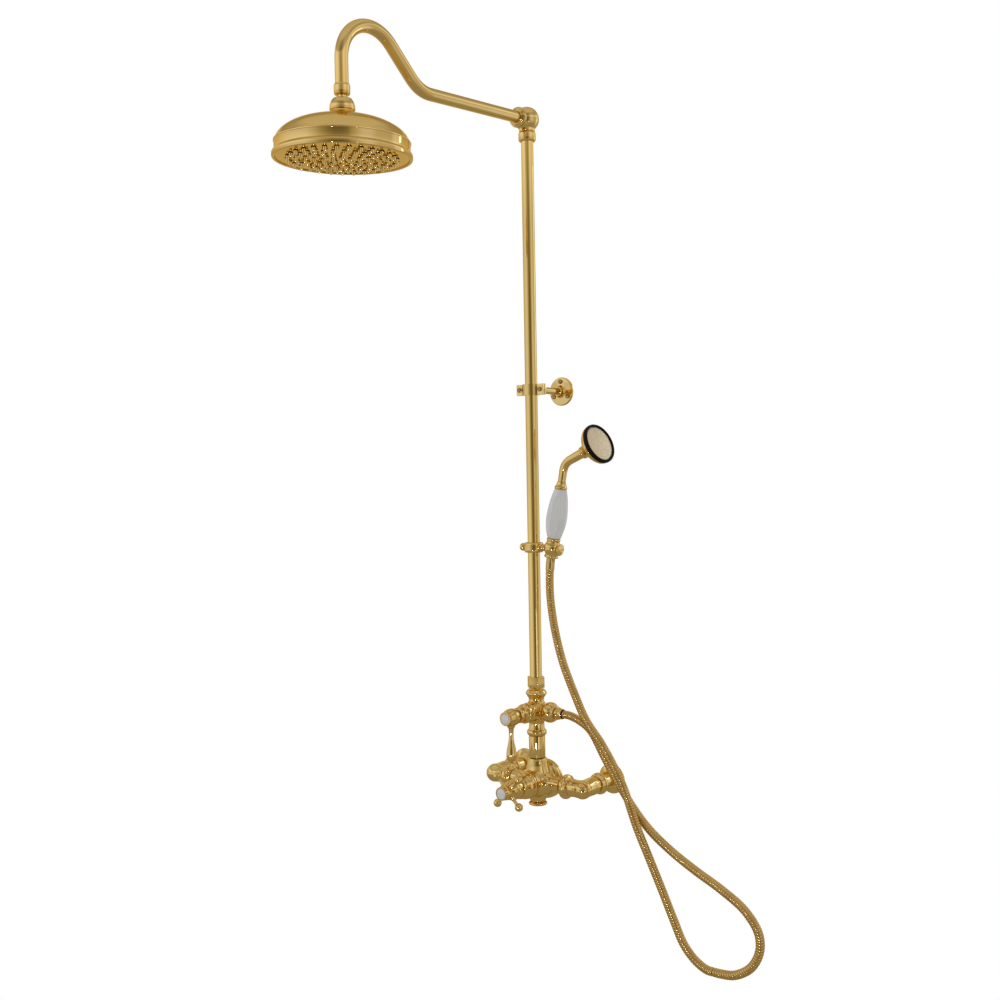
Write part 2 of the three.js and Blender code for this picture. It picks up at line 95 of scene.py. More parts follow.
UP = Vector((0, 0, 1))
DOWN = Vector((0, 0, -1))
ALONG_X = Vector((1, 0, 0))
OUTWARD = Vector((0, -1, 0))
TO_WALL = Vector((0, 1, 0))


class Side(Enum):
    """The two inlets, as the sign of their place along X."""

    LEFT = -1
    RIGHT = 1


class Slot(Enum):
    """The record's material slots."""

    BRASS = "polished_brass"
    AGED = "aged_brass"
    HOSE = "hose_brass"
    PORCELAIN = "porcelain"
    RUBBER = "black_rubber"
    FACE = "pale_face"
    ACETAL = "acetal"


# --------------------------------------------------------------------------------------- finishes


@dataclass(frozen=True)
class Finish:
    """A procedural finish: one base colour with its variation, gloss and fine relief.

    Attributes:
        slot: The record's slot that the finish belongs to.
        colour: Main linear colour.
        shade: Linear colour of the darker, worn or soiled areas.
        metallic: 0 for a dielectric, 1 for a metal.
        roughness: Lowest and highest roughness over the surface.
        cloud_scale: Size of the colour clouds, in features per metre.
        cloud_amount: How far the clouds go towards the shade colour.
        grain_scale: Size of the fine relief, in features per metre.
        grain_depth: Depth of the fine relief, in metres.
        coat: Weight of the clear glossy layer.
        coat_roughness: Roughness of that layer.
        subsurface: Weight of light scattering under the surface.
        edge_wear: How far exposed edges turn lighter.
        edge_tint: Linear colour of a metal's reflections at grazing angles.
        specular: Strength of a dielectric's reflections.
    """

    slot: Slot
    colour: tuple[float, float, float]
    shade: tuple[float, float, float]
    metallic: float = 1.0
    roughness: tuple[float, float] = (0.06, 0.12)
    cloud_scale: float = 22.0
    cloud_amount: float = 0.35
    grain_scale: float = 900.0
    grain_depth: float = 0.00001
    coat: float = 0.0
    coat_roughness: float = 0.03
    subsurface: float = 0.0
    edge_wear: float = 0.0
    edge_tint: tuple[float, float, float] = (1.0, 1.0, 1.0)
    specular: float = 0.5

    def material(self) -> bpy.types.Material:
        """Returns the finish's material, made on first use."""
        name = f"finish_{self.slot.value}"
        return bpy.data.materials.get(name) or self._build(name)

    def _build(self, name: str) -> bpy.types.Material:
        """Builds the node tree.

        Args:
            name: The material's name.

        Returns:
            The new material.
        """
        made = bpy.data.materials.new(name)
        made.use_nodes = True
        nodes = made.node_tree.nodes
        link = made.node_tree.links.new
        shader = nodes["Principled BSDF"]
        shader.inputs["Metallic"].default_value = self.metallic
        shader.inputs["Specular Tint"].default_value = (*self.edge_tint, 1)
        shader.inputs["Specular IOR Level"].default_value = self.specular
        shader.inputs["Coat Weight"].default_value = self.coat
        shader.inputs["Coat Roughness"].default_value = self.coat_roughness
        shader.inputs["Subsurface Weight"].default_value = self.subsurface
        shader.inputs["Subsurface Radius"].default_value = (0.004, 0.003, 0.002)
        place = nodes.new("ShaderNodeTexCoord")

        clouds = self._noise(nodes, self.cloud_scale, 5.0)
        link(place.outputs["Object"], clouds.inputs["Vector"])
        spread = nodes.new("ShaderNodeValToRGB")
        spread.color_ramp.elements[0].position = 0.42
        spread.color_ramp.elements[1].position = 0.72
        spread.color_ramp.elements[1].color = (self.cloud_amount,) * 3 + (1,)
        link(clouds.outputs["Fac"], spread.inputs["Fac"])
        tint = nodes.new("ShaderNodeMix")
        tint.data_type = "RGBA"
        tint.inputs["A"].default_value = (*self.colour, 1)
        tint.inputs["B"].default_value = (*self.shade, 1)
        link(spread.outputs["Color"], tint.inputs["Factor"])
        colour = tint.outputs["Result"]
        if self.edge_wear:
            colour = self._worn(nodes, link, colour)
        link(colour, shader.inputs["Base Color"])

        smear = self._noise(nodes, self.cloud_scale * 4, 3.0)
        link(place.outputs["Object"], smear.inputs["Vector"])
        gloss = nodes.new("ShaderNodeMapRange")
        gloss.inputs["From Min"].default_value = 0.35
        gloss.inputs["From Max"].default_value = 0.7
        gloss.inputs["To Min"].default_value = self.roughness[0]
        gloss.inputs["To Max"].default_value = self.roughness[1]
        link(smear.outputs["Fac"], gloss.inputs["Value"])
        link(gloss.outputs["Result"], shader.inputs["Roughness"])

        grain = self._noise(nodes, self.grain_scale, 4.0)
        link(place.outputs["Object"], grain.inputs["Vector"])
        bump = nodes.new("ShaderNodeBump")
        bump.inputs["Strength"].default_value = 0.6
        bump.inputs["Distance"].default_value = self.grain_depth
        link(grain.outputs["Fac"], bump.inputs["Height"])
        link(bump.outputs["Normal"], shader.inputs["Normal"])
        return made

    def _worn(self, nodes: bpy.types.Nodes, link, colour) -> bpy.types.NodeSocket:
        """Lightens exposed edges, where polish and hands keep the metal bright.

        Args:
            nodes: The material's nodes.
            link: The tree's link maker.
            colour: The socket with the colour so far.

        Returns:
            The socket with the worn colour.
        """
        shape = nodes.new("ShaderNodeNewGeometry")
        edges = nodes.new("ShaderNodeMapRange")
        edges.inputs["From Min"].default_value = 0.52
        edges.inputs["From Max"].default_value = 0.62
        edges.inputs["To Max"].default_value = self.edge_wear
        link(shape.outputs["Pointiness"], edges.inputs["Value"])
        worn = nodes.new("ShaderNodeMix")
        worn.data_type = "RGBA"
        worn.inputs["B"].default_value = tuple(min(1.0, c * 1.25) for c in self.colour) + (1,)
        link(edges.outputs["Result"], worn.inputs["Factor"])
        link(colour, worn.inputs["A"])
        return worn.outputs["Result"]

    @staticmethod
    def _noise(nodes: bpy.types.Nodes, scale: float, detail: float) -> bpy.types.Node:
        """Adds a noise texture of that scale and detail."""
        noise = nodes.new("ShaderNodeTexNoise")
        noise.inputs["Scale"].default_value = scale
        noise.inputs["Detail"].default_value = detail
        return noise


POLISHED_BRASS = Finish(
    slot=Slot.BRASS,
    colour=(0.84, 0.595, 0.21),
    shade=(0.74, 0.5, 0.15),
    roughness=(0.02, 0.05),
    grain_scale=350.0,
    grain_depth=0.000002,
    edge_wear=0.5,
    edge_tint=(0.9, 0.72, 0.4),
)
AGED_BRASS = Finish(
    slot=Slot.AGED,
    colour=(0.5, 0.33, 0.11),
    shade=(0.24, 0.15, 0.05),
    roughness=(0.16, 0.3),
    cloud_scale=160.0,
    cloud_amount=0.6,
    edge_wear=0.8,
)
HOSE_BRASS = Finish(
    slot=Slot.HOSE,
    colour=(0.7, 0.465, 0.155),
    shade=(0.42, 0.26, 0.08),
    roughness=(0.05, 0.11),
    cloud_scale=60.0,
    cloud_amount=0.4,
    edge_tint=(0.9, 0.68, 0.38),
)
PORCELAIN = Finish(
    slot=Slot.PORCELAIN,
    colour=(0.88, 0.89, 0.87),
    shade=(0.82, 0.83, 0.82),
    metallic=0.0,
    roughness=(0.04, 0.1),
    cloud_scale=45.0,
    cloud_amount=0.4,
    grain_scale=260.0,
    grain_depth=0.00002,
    coat=0.6,
    subsurface=0.1,
)
BLACK_RUBBER = Finish(
    slot=Slot.RUBBER,
    colour=(0.008, 0.006, 0.004),
    shade=(0.02, 0.016, 0.012),
    specular=0.1,
    metallic=0.0,
    roughness=(0.32, 0.5),
    cloud_scale=90.0,
    grain_scale=2200.0,
    grain_depth=0.00003,
)
PALE_FACE = Finish(
    slot=Slot.FACE,
    colour=(0.92, 0.77, 0.5),
    shade=(0.8, 0.64, 0.38),
    metallic=0.3,
    roughness=(0.3, 0.42),
    cloud_scale=120.0,
    cloud_amount=0.5,
    grain_scale=1500.0,
    grain_depth=0.00003,
)
ACETAL = Finish(
    slot=Slot.ACETAL,
    colour=(0.68, 0.66, 0.61),
    shade=(0.58, 0.56, 0.5),
    metallic=0.0,
    roughness=(0.35, 0.5),
)


# ------------------------------------------------------------------------------------ shape tools


def bent(start: Vector, corner: Vector, end: Vector, count: int) -> list[Vector]:
    """Points on the round from start to end that leans on the corner."""
    shares = [i / count for i in range(count + 1)]
    return [start * (1 - t) ** 2 + corner * (2 * t * (1 - t)) + end * t**2 for t in shares]


def eased(outline: Outline) -> list[tuple[float, float]]:
    """Rounds an outline's corners.

    Args:
        outline: Rows of (radius, distance along the axis[, ease]); ease is how far from the corner its
            round starts, in millimetres.

    Returns:
        The fine line as (radius, distance) pairs.
    """
    fine: list[tuple[float, float]] = []
    for i, row in enumerate(outline):
        corner = Vector(row[:2])
        if len(row) < 3 or i in (0, len(outline) - 1):
            fine.append(tuple(corner))
            continue
        before = Vector(outline[i - 1][:2]) - corner
        after = Vector(outline[i + 1][:2]) - corner
        reach = min(row[2], before.length * 0.48, after.length * 0.48)
        start = corner + before.normalized() * reach
        end = corner + after.normalized() * reach
        fine.extend(tuple(point) for point in bent(start, corner, end, EASE_STEPS))
    return fine


def arc(radius: float, low: float, high: float, steps: int = 12, centre: float = 0.0) -> list[Row]:
    """Rows on a circle about the axis: radius, from one angle to another in degrees above the equator."""
    angles = [math.radians(low + (high - low) * i / steps) for i in range(steps + 1)]
    return [(max(0.0, radius * math.cos(a)), centre + radius * math.sin(a)) for a in angles]


def spun(outline: Outline, sides: int = 64) -> bmesh.types.BMesh:
    """Spins an outline about Z into a closed shell, in metres."""
    bm = bmesh.new()
    line = [bm.verts.new((r * MM, 0, t * MM)) for r, t in eased(outline)]
    edges = [bm.edges.new(pair) for pair in zip(line, line[1:])]
    bmesh.ops.spin(
        bm,
        geom=line + edges,
        cent=(0, 0, 0),
        axis=UP,
        dvec=(0, 0, 0),
        angle=TURN,
        steps=sides,
        use_merge=True,
        use_duplicate=False,
    )
    bmesh.ops.remove_doubles(bm, verts=bm.verts, dist=1e-6)
    bmesh.ops.dissolve_degenerate(bm, edges=bm.edges, dist=1e-7)
    bmesh.ops.recalc_face_normals(bm, faces=bm.faces)
    return bm


def seat(axis: Vector, at: Sequence[float]) -> Matrix:
    """The placement that points Z along an axis and moves the origin to a place in millimetres."""
    turn = UP.rotation_difference(axis).to_matrix().to_4x4()
    return Matrix.Translation(Vector(at) * MM) @ turn


def moved(bm: bmesh.types.BMesh, place: Matrix) -> bmesh.types.BMesh:
    """Moves a whole bmesh by a placement."""
    bmesh.ops.transform(bm, matrix=place, verts=bm.verts)
    return bm


def absorb(into: bmesh.types.BMesh, other: bmesh.types.BMesh) -> None:
    """Adds another bmesh's faces to one, and frees the other."""
    scratch = bpy.data.meshes.new("scratch")
    other.to_mesh(scratch)
    other.free()
    into.from_mesh(scratch)
    bpy.data.meshes.remove(scratch)


def block(size: Sequence[float], ease: float, place: Matrix) -> bmesh.types.BMesh:
    """A box with rounded edges.

    Args:
        size: Its sides in millimetres.
        ease: Radius of its edges in millimetres.
        place: Where it goes.

    Returns:
        The placed box.
    """
    bm = bmesh.new()
    bmesh.ops.create_cube(bm, size=1.0)
    bmesh.ops.scale(bm, vec=Vector(size) * MM, verts=bm.verts)
    bmesh.ops.bevel(
        bm, geom=bm.edges[:], offset=ease * MM, segments=3, profile=0.5, affect="EDGES", material=-1
    )
    return moved(bm, place)


def hex_prism(across: float, low: float, high: float, ease: float) -> bmesh.types.BMesh:
    """A hexagonal prism about Z with rounded edges; across is corner to corner, in millimetres."""
    bm = bmesh.new()
    bmesh.ops.create_circle(bm, cap_ends=True, segments=6, radius=across / 2 * MM)
    bmesh.ops.translate(bm, vec=(0, 0, low * MM), verts=bm.verts)
    grown = bmesh.ops.extrude_face_region(bm, geom=bm.faces[:])
    top = [g for g in grown["geom"] if isinstance(g, bmesh.types.BMVert)]
    bmesh.ops.translate(bm, vec=(0, 0, (high - low) * MM), verts=top)
    bmesh.ops.recalc_face_normals(bm, faces=bm.faces)
    bmesh.ops.bevel(
        bm, geom=bm.edges[:], offset=ease * MM, segments=3, profile=0.5, affect="EDGES", material=-1
    )
    return bm


def cut_slot(bm: bmesh.types.BMesh, width: float, depth: float, top: float) -> bmesh.types.BMesh:
    """Sinks a straight screwdriver slot into the flat top of a turned head.

    Args:
        bm: The head, about Z.
        width: Slot width in millimetres.
        depth: Slot depth in millimetres.
        top: Height of the flat top in millimetres.

    Returns:
        The same head with its slot.
    """
    for sign in (-1, 1):
        bmesh.ops.bisect_plane(
            bm,
            geom=bm.verts[:] + bm.edges[:] + bm.faces[:],
            plane_co=(sign * width / 2 * MM, 0, 0),
            plane_no=(1, 0, 0),
            dist=1e-6,
        )
    bm.faces.ensure_lookup_table()
    reach = width / 2 * MM + 1e-6
    inside = [
        f
        for f in bm.faces
        if f.calc_center_median().z > (top - 0.9) * MM and all(abs(v.co.x) <= reach for v in f.verts)
    ]
    sunk = bmesh.ops.extrude_face_region(bm, geom=inside)
    floor = [g for g in sunk["geom"] if isinstance(g, bmesh.types.BMVert)]
    bmesh.ops.translate(bm, vec=(0, 0, -depth * MM), verts=floor)
    bmesh.ops.delete(bm, geom=inside, context="FACES")
    bmesh.ops.recalc_face_normals(bm, faces=bm.faces)
    return bm


class Route:
    """A smooth line through points, measured along its length, with a frame that doesn't twist."""

    def __init__(self, points: Sequence[Sequence[float]], smooth: bool = True, step: float = 1.5) -> None:
        """Samples the line.

        Args:
            points: The points it passes, in millimetres.
            smooth: Whether to curve between the points, or to take them as they are.
            step: Distance between samples in millimetres.
        """
        corners = [Vector(p) for p in points]
        self.line = self._curved(corners, step) if smooth else corners
        self.run = [0.0]
        for a, b in zip(self.line, self.line[1:]):
            self.run.append(self.run[-1] + (b - a).length)
        self.length = self.run[-1]
        self.frames = self._frames()

    @staticmethod
    def _curved(corners: list[Vector], step: float) -> list[Vector]:
        """Centripetal Catmull-Rom through the corners."""
        ends = [corners[0] * 2 - corners[1]] + corners + [corners[-1] * 2 - corners[-2]]
        fine: list[Vector] = []
        for i in range(1, len(ends) - 2):
            p0, p1, p2, p3 = ends[i - 1 : i + 3]
            t0 = 0.0
            t1 = t0 + (p1 - p0).length ** 0.5
            t2 = t1 + (p2 - p1).length ** 0.5
            t3 = t2 + (p3 - p2).length ** 0.5
            count = max(2, round((p2 - p1).length / step))
            for k in range(count):
                t = t1 + (t2 - t1) * k / count
                a1 = p0 * ((t1 - t) / (t1 - t0)) + p1 * ((t - t0) / (t1 - t0))
                a2 = p1 * ((t2 - t) / (t2 - t1)) + p2 * ((t - t1) / (t2 - t1))
                a3 = p2 * ((t3 - t) / (t3 - t2)) + p3 * ((t - t2) / (t3 - t2))
                b1 = a1 * ((t2 - t) / (t2 - t0)) + a2 * ((t - t0) / (t2 - t0))
                b2 = a2 * ((t3 - t) / (t3 - t1)) + a3 * ((t - t1) / (t3 - t1))
                fine.append(b1 * ((t2 - t) / (t2 - t1)) + b2 * ((t - t1) / (t2 - t1)))
        fine.append(corners[-1].copy())
        return fine

    def _frames(self) -> list[tuple[Vector, Vector, Vector]]:
        """Tangent and two normals at each sample, carried along without twist."""
        frames = []
        tangent = (self.line[1] - self.line[0]).normalized()
        side = tangent.orthogonal().normalized()
        last = len(self.line) - 1
        for i in range(len(self.line)):
            ahead = (self.line[min(i + 1, last)] - self.line[max(i - 1, 0)]).normalized()
            side = (tangent.rotation_difference(ahead) @ side).normalized()
            side = (side - ahead * side.dot(ahead)).normalized()
            tangent = ahead
            frames.append((tangent, side, tangent.cross(side)))
        return frames

    def at(self, run: float) -> tuple[Vector, tuple[Vector, Vector, Vector]]:
        """The point and frame at a distance along the line."""
        run = min(max(run, 0.0), self.length)
        low, high = 0, len(self.run) - 1
        while high - low > 1:
            middle = (low + high) // 2
            if self.run[middle] <= run:
                low = middle
            else:
                high = middle
        share = (run - self.run[low]) / max(1e-9, self.run[high] - self.run[low])
        point = self.line[low].lerp(self.line[high], share)
        near, far = self.frames[low], self.frames[high]
        return point, tuple(a.lerp(b, share).normalized() for a, b in zip(near, far))


def swept(outline: Outline, route: Route, start: float = 0.0, sides: int = 32) -> bmesh.types.BMesh:
    """Spins an outline and bends it along a route.

    Args:
        outline: Rows of (radius, distance along the route) in millimetres.
        route: The centre line.
        start: Where on the route the outline's zero lies.
        sides: Faces round the section.

    Returns:
        The bent shell, in metres.
    """
    bm = spun(outline, sides)
    for vert in bm.verts:
        x, y, run = vert.co / MM
        point, (_, side, across) = route.at(start + run)
        vert.co = (point + side * x + across * y) * MM
    bmesh.ops.recalc_face_normals(bm, faces=bm.faces)
    return bm


def divided(outline: Outline, step: float) -> list[Row]:
    """Adds rows along the long straights of an outline, so that it can bend."""
    rows: list[Row] = [outline[0]]
    for a, b in zip(outline, outline[1:]):
        count = max(1, math.ceil(abs(b[1] - a[1]) / step))
        for i in range(1, count):
            share = i / count
            rows.append((a[0] + (b[0] - a[0]) * share, a[1] + (b[1] - a[1]) * share))
        rows.append(b)
    return rows


@dataclass
class Piece:
    """One visible piece on its way into the scene."""

    name: str
    shape: bmesh.types.BMesh
    finish: Finish
    replaces: tuple[str, ...]
    sharp: float = SHARP_ANGLE

    def build(self) -> bpy.types.Object:
        """Turns the shape into an object with its finish and slot."""
        mesh = bpy.data.meshes.new(self.name)
        self.shape.to_mesh(mesh)
        self.shape.free()
        mesh.shade_smooth()
        mesh.set_sharp_from_angle(angle=self.sharp)
        made = bpy.data.objects.new(self.name, mesh)
        bpy.context.scene.collection.objects.link(made)
        mesh.materials.append(self.finish.material())
        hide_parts(*self.replaces)
        log.info("built %s with %d faces", self.name, len(mesh.polygons))
        return made

    def ride(self, body: str) -> bpy.types.Object:
        """Builds the piece and lets it ride on a body."""
        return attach(self.build(), body)


def turned(
    name: str,
    outline: Outline,
    axis: Vector,
    at: Sequence[float],
    body: str,
    finish: Finish = POLISHED_BRASS,
    sides: int = 64,
    place: Matrix = Matrix.Identity(4),
) -> bpy.types.Object:
    """Makes a turned piece that stands for the CAD node of the same name.

    Args:
        name: The CAD node; the piece is named with _look after it.
        outline: Its rows.
        axis: The turning axis.
        at: The axis's origin in millimetres.
        body: The body it rides on.
        finish: Its finish.
        sides: Faces round it.
        place: A further placement of the whole piece.

    Returns:
        The finished object.
    """
    shape = moved(spun(outline, sides), place @ seat(axis, at))
    return Piece(f"{name}_look", shape, finish, (name,)).ride(body)


def turned_group(
    parts: Sequence[tuple[Outline, Vector, Sequence[float]]], sides: int = 64
) -> bmesh.types.BMesh:
    """One shape made of several turned shells, each an outline, an axis and a place."""
    whole = bmesh.new()
    for outline, axis, at in parts:
        absorb(whole, moved(spun(outline, sides), seat(axis, at)))
    return whole


# ---------------------------------------------------------------------------------- sub-assemblies


@dataclass
class Inlet:
    """A wall inlet: cover flange, pipe, nut, elbow and union nut."""

    side: Side
    pipe_r: float = 11.5
    tail_r: float = 12.6
    bulb_r: float = 15.8
    body: str = "column"

    def build(self) -> None:
        """Builds the five pieces of this side."""
        name = self.side.name.lower()
        foot = (self.side.value * INLET_X, 0, 0)
        corner = (self.side.value * INLET_X, AXIS_Y, 0)
        inward = ALONG_X * -self.side.value
        turned(f"{name}_wall_flange", self._flange(), OUTWARD, foot, self.body)
        pipe = [(8, 0), (self.pipe_r, 0), (self.pipe_r, 46), (8, 46), (8, 0)]
        turned(f"{name}_inlet_pipe", pipe, OUTWARD, foot, self.body, sides=48)
        turned(f"{name}_elbow_nut", self._ring(34, 50, 18.4), OUTWARD, foot, self.body)
        elbow = self._elbow(corner, inward)
        Piece(f"{name}_elbow_look", elbow, POLISHED_BRASS, (f"{name}_elbow",)).ride(self.body)
        turned(f"{name}_union_nut", self._union(), inward, corner, self.body)

    @staticmethod
    def _flange() -> Outline:
        """A trumpet-shaped cover plate with a fine rim."""
        return [
            (11.8, 0), (26, 0, 0.3), (26, 2.2, 1.2), (24.6, 3.2, 0.5), (23.6, 4.4, 0.8), (19, 7.4, 4),
            (15.4, 11, 3), (14.2, 14, 0.6), (11.8, 14), (11.8, 0),
        ]

    @staticmethod
    def _ring(low: float, high: float, r: float) -> Outline:
        """A round nut with a rolled rim and a hollow flank."""
        return [
            (12.9, low), (15, low, 0.6), (16.2, low + 2.4, 0.8), (r - 0.6, low + 3.6, 0.6),
            (r, low + 5.4, 1.2), (r, low + 9, 1.4), (r - 1.6, low + 10.6, 0.6), (16, low + 12, 1.2),
            (15, high - 1, 0.8), (14.4, high, 0.4), (12.9, high), (12.9, low),
        ]

    @staticmethod
    def _union() -> Outline:
        """The union nut: a broad rounded rim with coned flanks."""
        return [
            (12.9, 25), (14.2, 25, 0.4), (15.6, 27, 0.6), (18.4, 28.4, 1), (20.2, 30, 0.7), (20.8, 32, 0.8),
            (20.8, 34.6, 0.8), (20, 36.6, 0.7), (17, 39, 1.4), (15.4, 41.6, 0.8), (14.2, 43, 0.4), (12.9, 43),
            (12.9, 25),
        ]

    def _elbow(self, corner: Sequence[float], inward: Vector) -> bmesh.types.BMesh:
        """The bulbous elbow, a ball with a socket towards the wall and one towards the valve."""
        r = self.bulb_r
        ball = [(0, -r), *arc(r, -89, 89, 28), (0, r)]
        wall_leg = [
            (0, 0), (15, 6), (14.6, 16, 6), (15.2, 26, 5), (14.8, 31.6, 1.6), (13, 33.4, 0.8),
            (12.6, 35, 0.5), (12.6, 42.5, 0.4), (8, 42.5), (8, 40), (0, 40),
        ]
        valve_leg = [
            (0, 0), (15, 6), (14.4, 14, 5), (15.2, 20.6, 3), (14.8, 23.6, 0.8), (12.9, 24.6, 0.4),
            (12.6, 34.5, 0.4), (8, 34.5), (8, 32), (0, 32),
        ]
        return turned_group([(ball, UP, corner), (wall_leg, TO_WALL, corner), (valve_leg, inward, corner)])


@dataclass
class Valve:
    """The thermostatic valve with its round rear drum, bonnet, bottom cap and outlet tube."""

    body: str = "column"

    def build(self) -> None:
        """Builds the valve's visible pieces."""
        middle = (0, AXIS_Y, 0)
        parts = [
            (self._drum(), OUTWARD, middle),
            (self._tail(), ALONG_X, middle),
            (self._tail(), -ALONG_X, middle),
            (self._top_boss(), UP, middle),
            (self._bottom_boss(), DOWN, middle),
        ]
        Piece("valve_body_look", turned_group(parts, 80), POLISHED_BRASS, ("valve_body",)).ride(self.body)
        turned("valve_bonnet", self._bonnet(), OUTWARD, middle, self.body)
        turned("bottom_cap", self._cap(), DOWN, middle, self.body)
        tube = [(9.5, 42.6), (14.1, 42.6, 0.4), (14.1, 79.8, 0.3), (9.5, 79.8), (9.5, 42.6)]
        turned("lower_tube", tube, UP, middle, self.body)

    @staticmethod
    def _drum() -> Outline:
        """The body about its front-to-back axis, with the rimmed drum at the rear."""
        return [
            (0, -40), (14, -39.6, 3), (24, -37, 5), (31, -32, 3), (33.4, -28.6, 0.6), (34, -27.6, 0.6),
            (34, -24.6, 0.7), (33, -24, 0.3), (33, -22.8, 0.3), (34, -22.2, 0.5), (34, -19.6, 0.8),
            (32, -18.6, 0.6), (30, -17.4, 0.8), (27.6, -13, 2), (26.8, -4, 4), (27, 10, 5), (25, 17, 2),
            (24.6, 19, 0.4), (22.8, 20, 0.6), (22.4, 25, 2), (23, 27.2, 0.4), (23, 28, 0.3), (0, 28),
        ]

    @staticmethod
    def _tail() -> Outline:
        """A threaded tail's smooth outside, swelling into the body."""
        return [
            (0, 0), (19, 16), (18, 24, 2), (14, 28, 3), (12.6, 34, 3), (12.6, 60, 0.4), (8, 60), (8, 56),
            (0, 56),
        ]

    @staticmethod
    def _top_boss() -> Outline:
        """The saddle under the outlet tube."""
        return [
            (0, 0), (24, 12), (20.4, 23, 5), (17.8, 31, 4), (17.2, 38, 2), (16, 41.2, 0.8), (14.4, 41.6, 0.2),
            (0, 41.6),
        ]

    @staticmethod
    def _bottom_boss() -> Outline:
        """The boss that the bottom cap screws into."""
        return [(0, 0), (22, 12), (18.2, 23, 4), (15, 28.6, 1.5), (13, 33.4, 0.5), (0, 33.4)]

    @staticmethod
    def _bonnet() -> Outline:
        """The ring that holds the cartridge, stepped and coned."""
        return [
            (13.4, 28.4), (22, 28.4, 0.4), (23.4, 30, 0.8), (23.4, 33.4, 0.8), (22, 34.4, 0.4), (22, 36, 0.4),
            (22.8, 37, 0.6), (22.4, 41, 1), (20.4, 44.6, 1), (19.8, 52, 2), (18, 57.4, 0.8), (17.4, 58, 0.3),
            (13.4, 58), (13.4, 28.4),
        ]

    @staticmethod
    def _cap() -> Outline:
        """The button-shaped bottom cap with a ring groove."""
        return [
            (0, 33.8), (11.4, 33.8, 0.3), (13.4, 34.6, 0.8), (16, 36.6, 0.9), (16, 38.8, 0.9),
            (14.4, 40.2, 0.5), (13.2, 39.8, 0.3), (12.2, 40.4, 0.4), (9.6, 41.8, 1.5), (0, 42),
        ]


@dataclass
class CrossHandle:
    """The four-spoke temperature handle with its porcelain button."""

    body: str = "temperature_handle"
    plane: float = 81.8
    reach: float = 32.4
    ball_r: float = 6.9
    first_spoke: float = math.radians(45)

    def build(self) -> None:
        """Builds the handle and its button."""
        middle = (0, AXIS_Y, 0)
        root = (0, AXIS_Y - self.plane, 0)
        hub = [
            (0, 70), (5.4, 70), (5.4, 58.5), (16, 58.5, 0.6), (17, 60, 0.8), (17.1, 67, 1), (16.2, 69, 0.6),
            (16.6, 71, 0.6), (16.4, 75, 2), (14.6, 80, 2), (12.8, 88, 2), (12.4, 92.6, 0.6),
            (11.3, 94.4, 0.6), (11.3, 100.4, 0.5), (10.7, 101, 0.3), (9.6, 101, 0.2), (9.5, 98.5, 0.2),
            (0, 98.5),
        ]
        parts = [(hub, OUTWARD, middle)]
        for i in range(4):
            a = self.first_spoke + i * math.pi / 2
            parts.append((self._spoke(), Vector((math.cos(a), 0, math.sin(a))), root))
        Piece("cross_handle_look", turned_group(parts, 40), POLISHED_BRASS, ("cross_handle",)).ride(self.body)
        button = [(0, 98.7), (9.3, 98.7), (9.35, 100.4, 0.8), (8.2, 101.1, 1), (4, 101.5, 2), (0, 101.6)]
        turned("cross_handle_cap", button, OUTWARD, middle, self.body, PORCELAIN)

    def _spoke(self) -> Outline:
        """A waisted spoke that ends in a ball."""
        ball = arc(self.ball_r, -62, 89, 16, self.reach)
        return [
            (0, 4), (5.6, 8), (5, 12.4, 1.4), (3, 17, 3), (2.7, 24, 2), (3.2, 27.2, 0.5), *ball,
            (0, self.reach + self.ball_r),
        ]


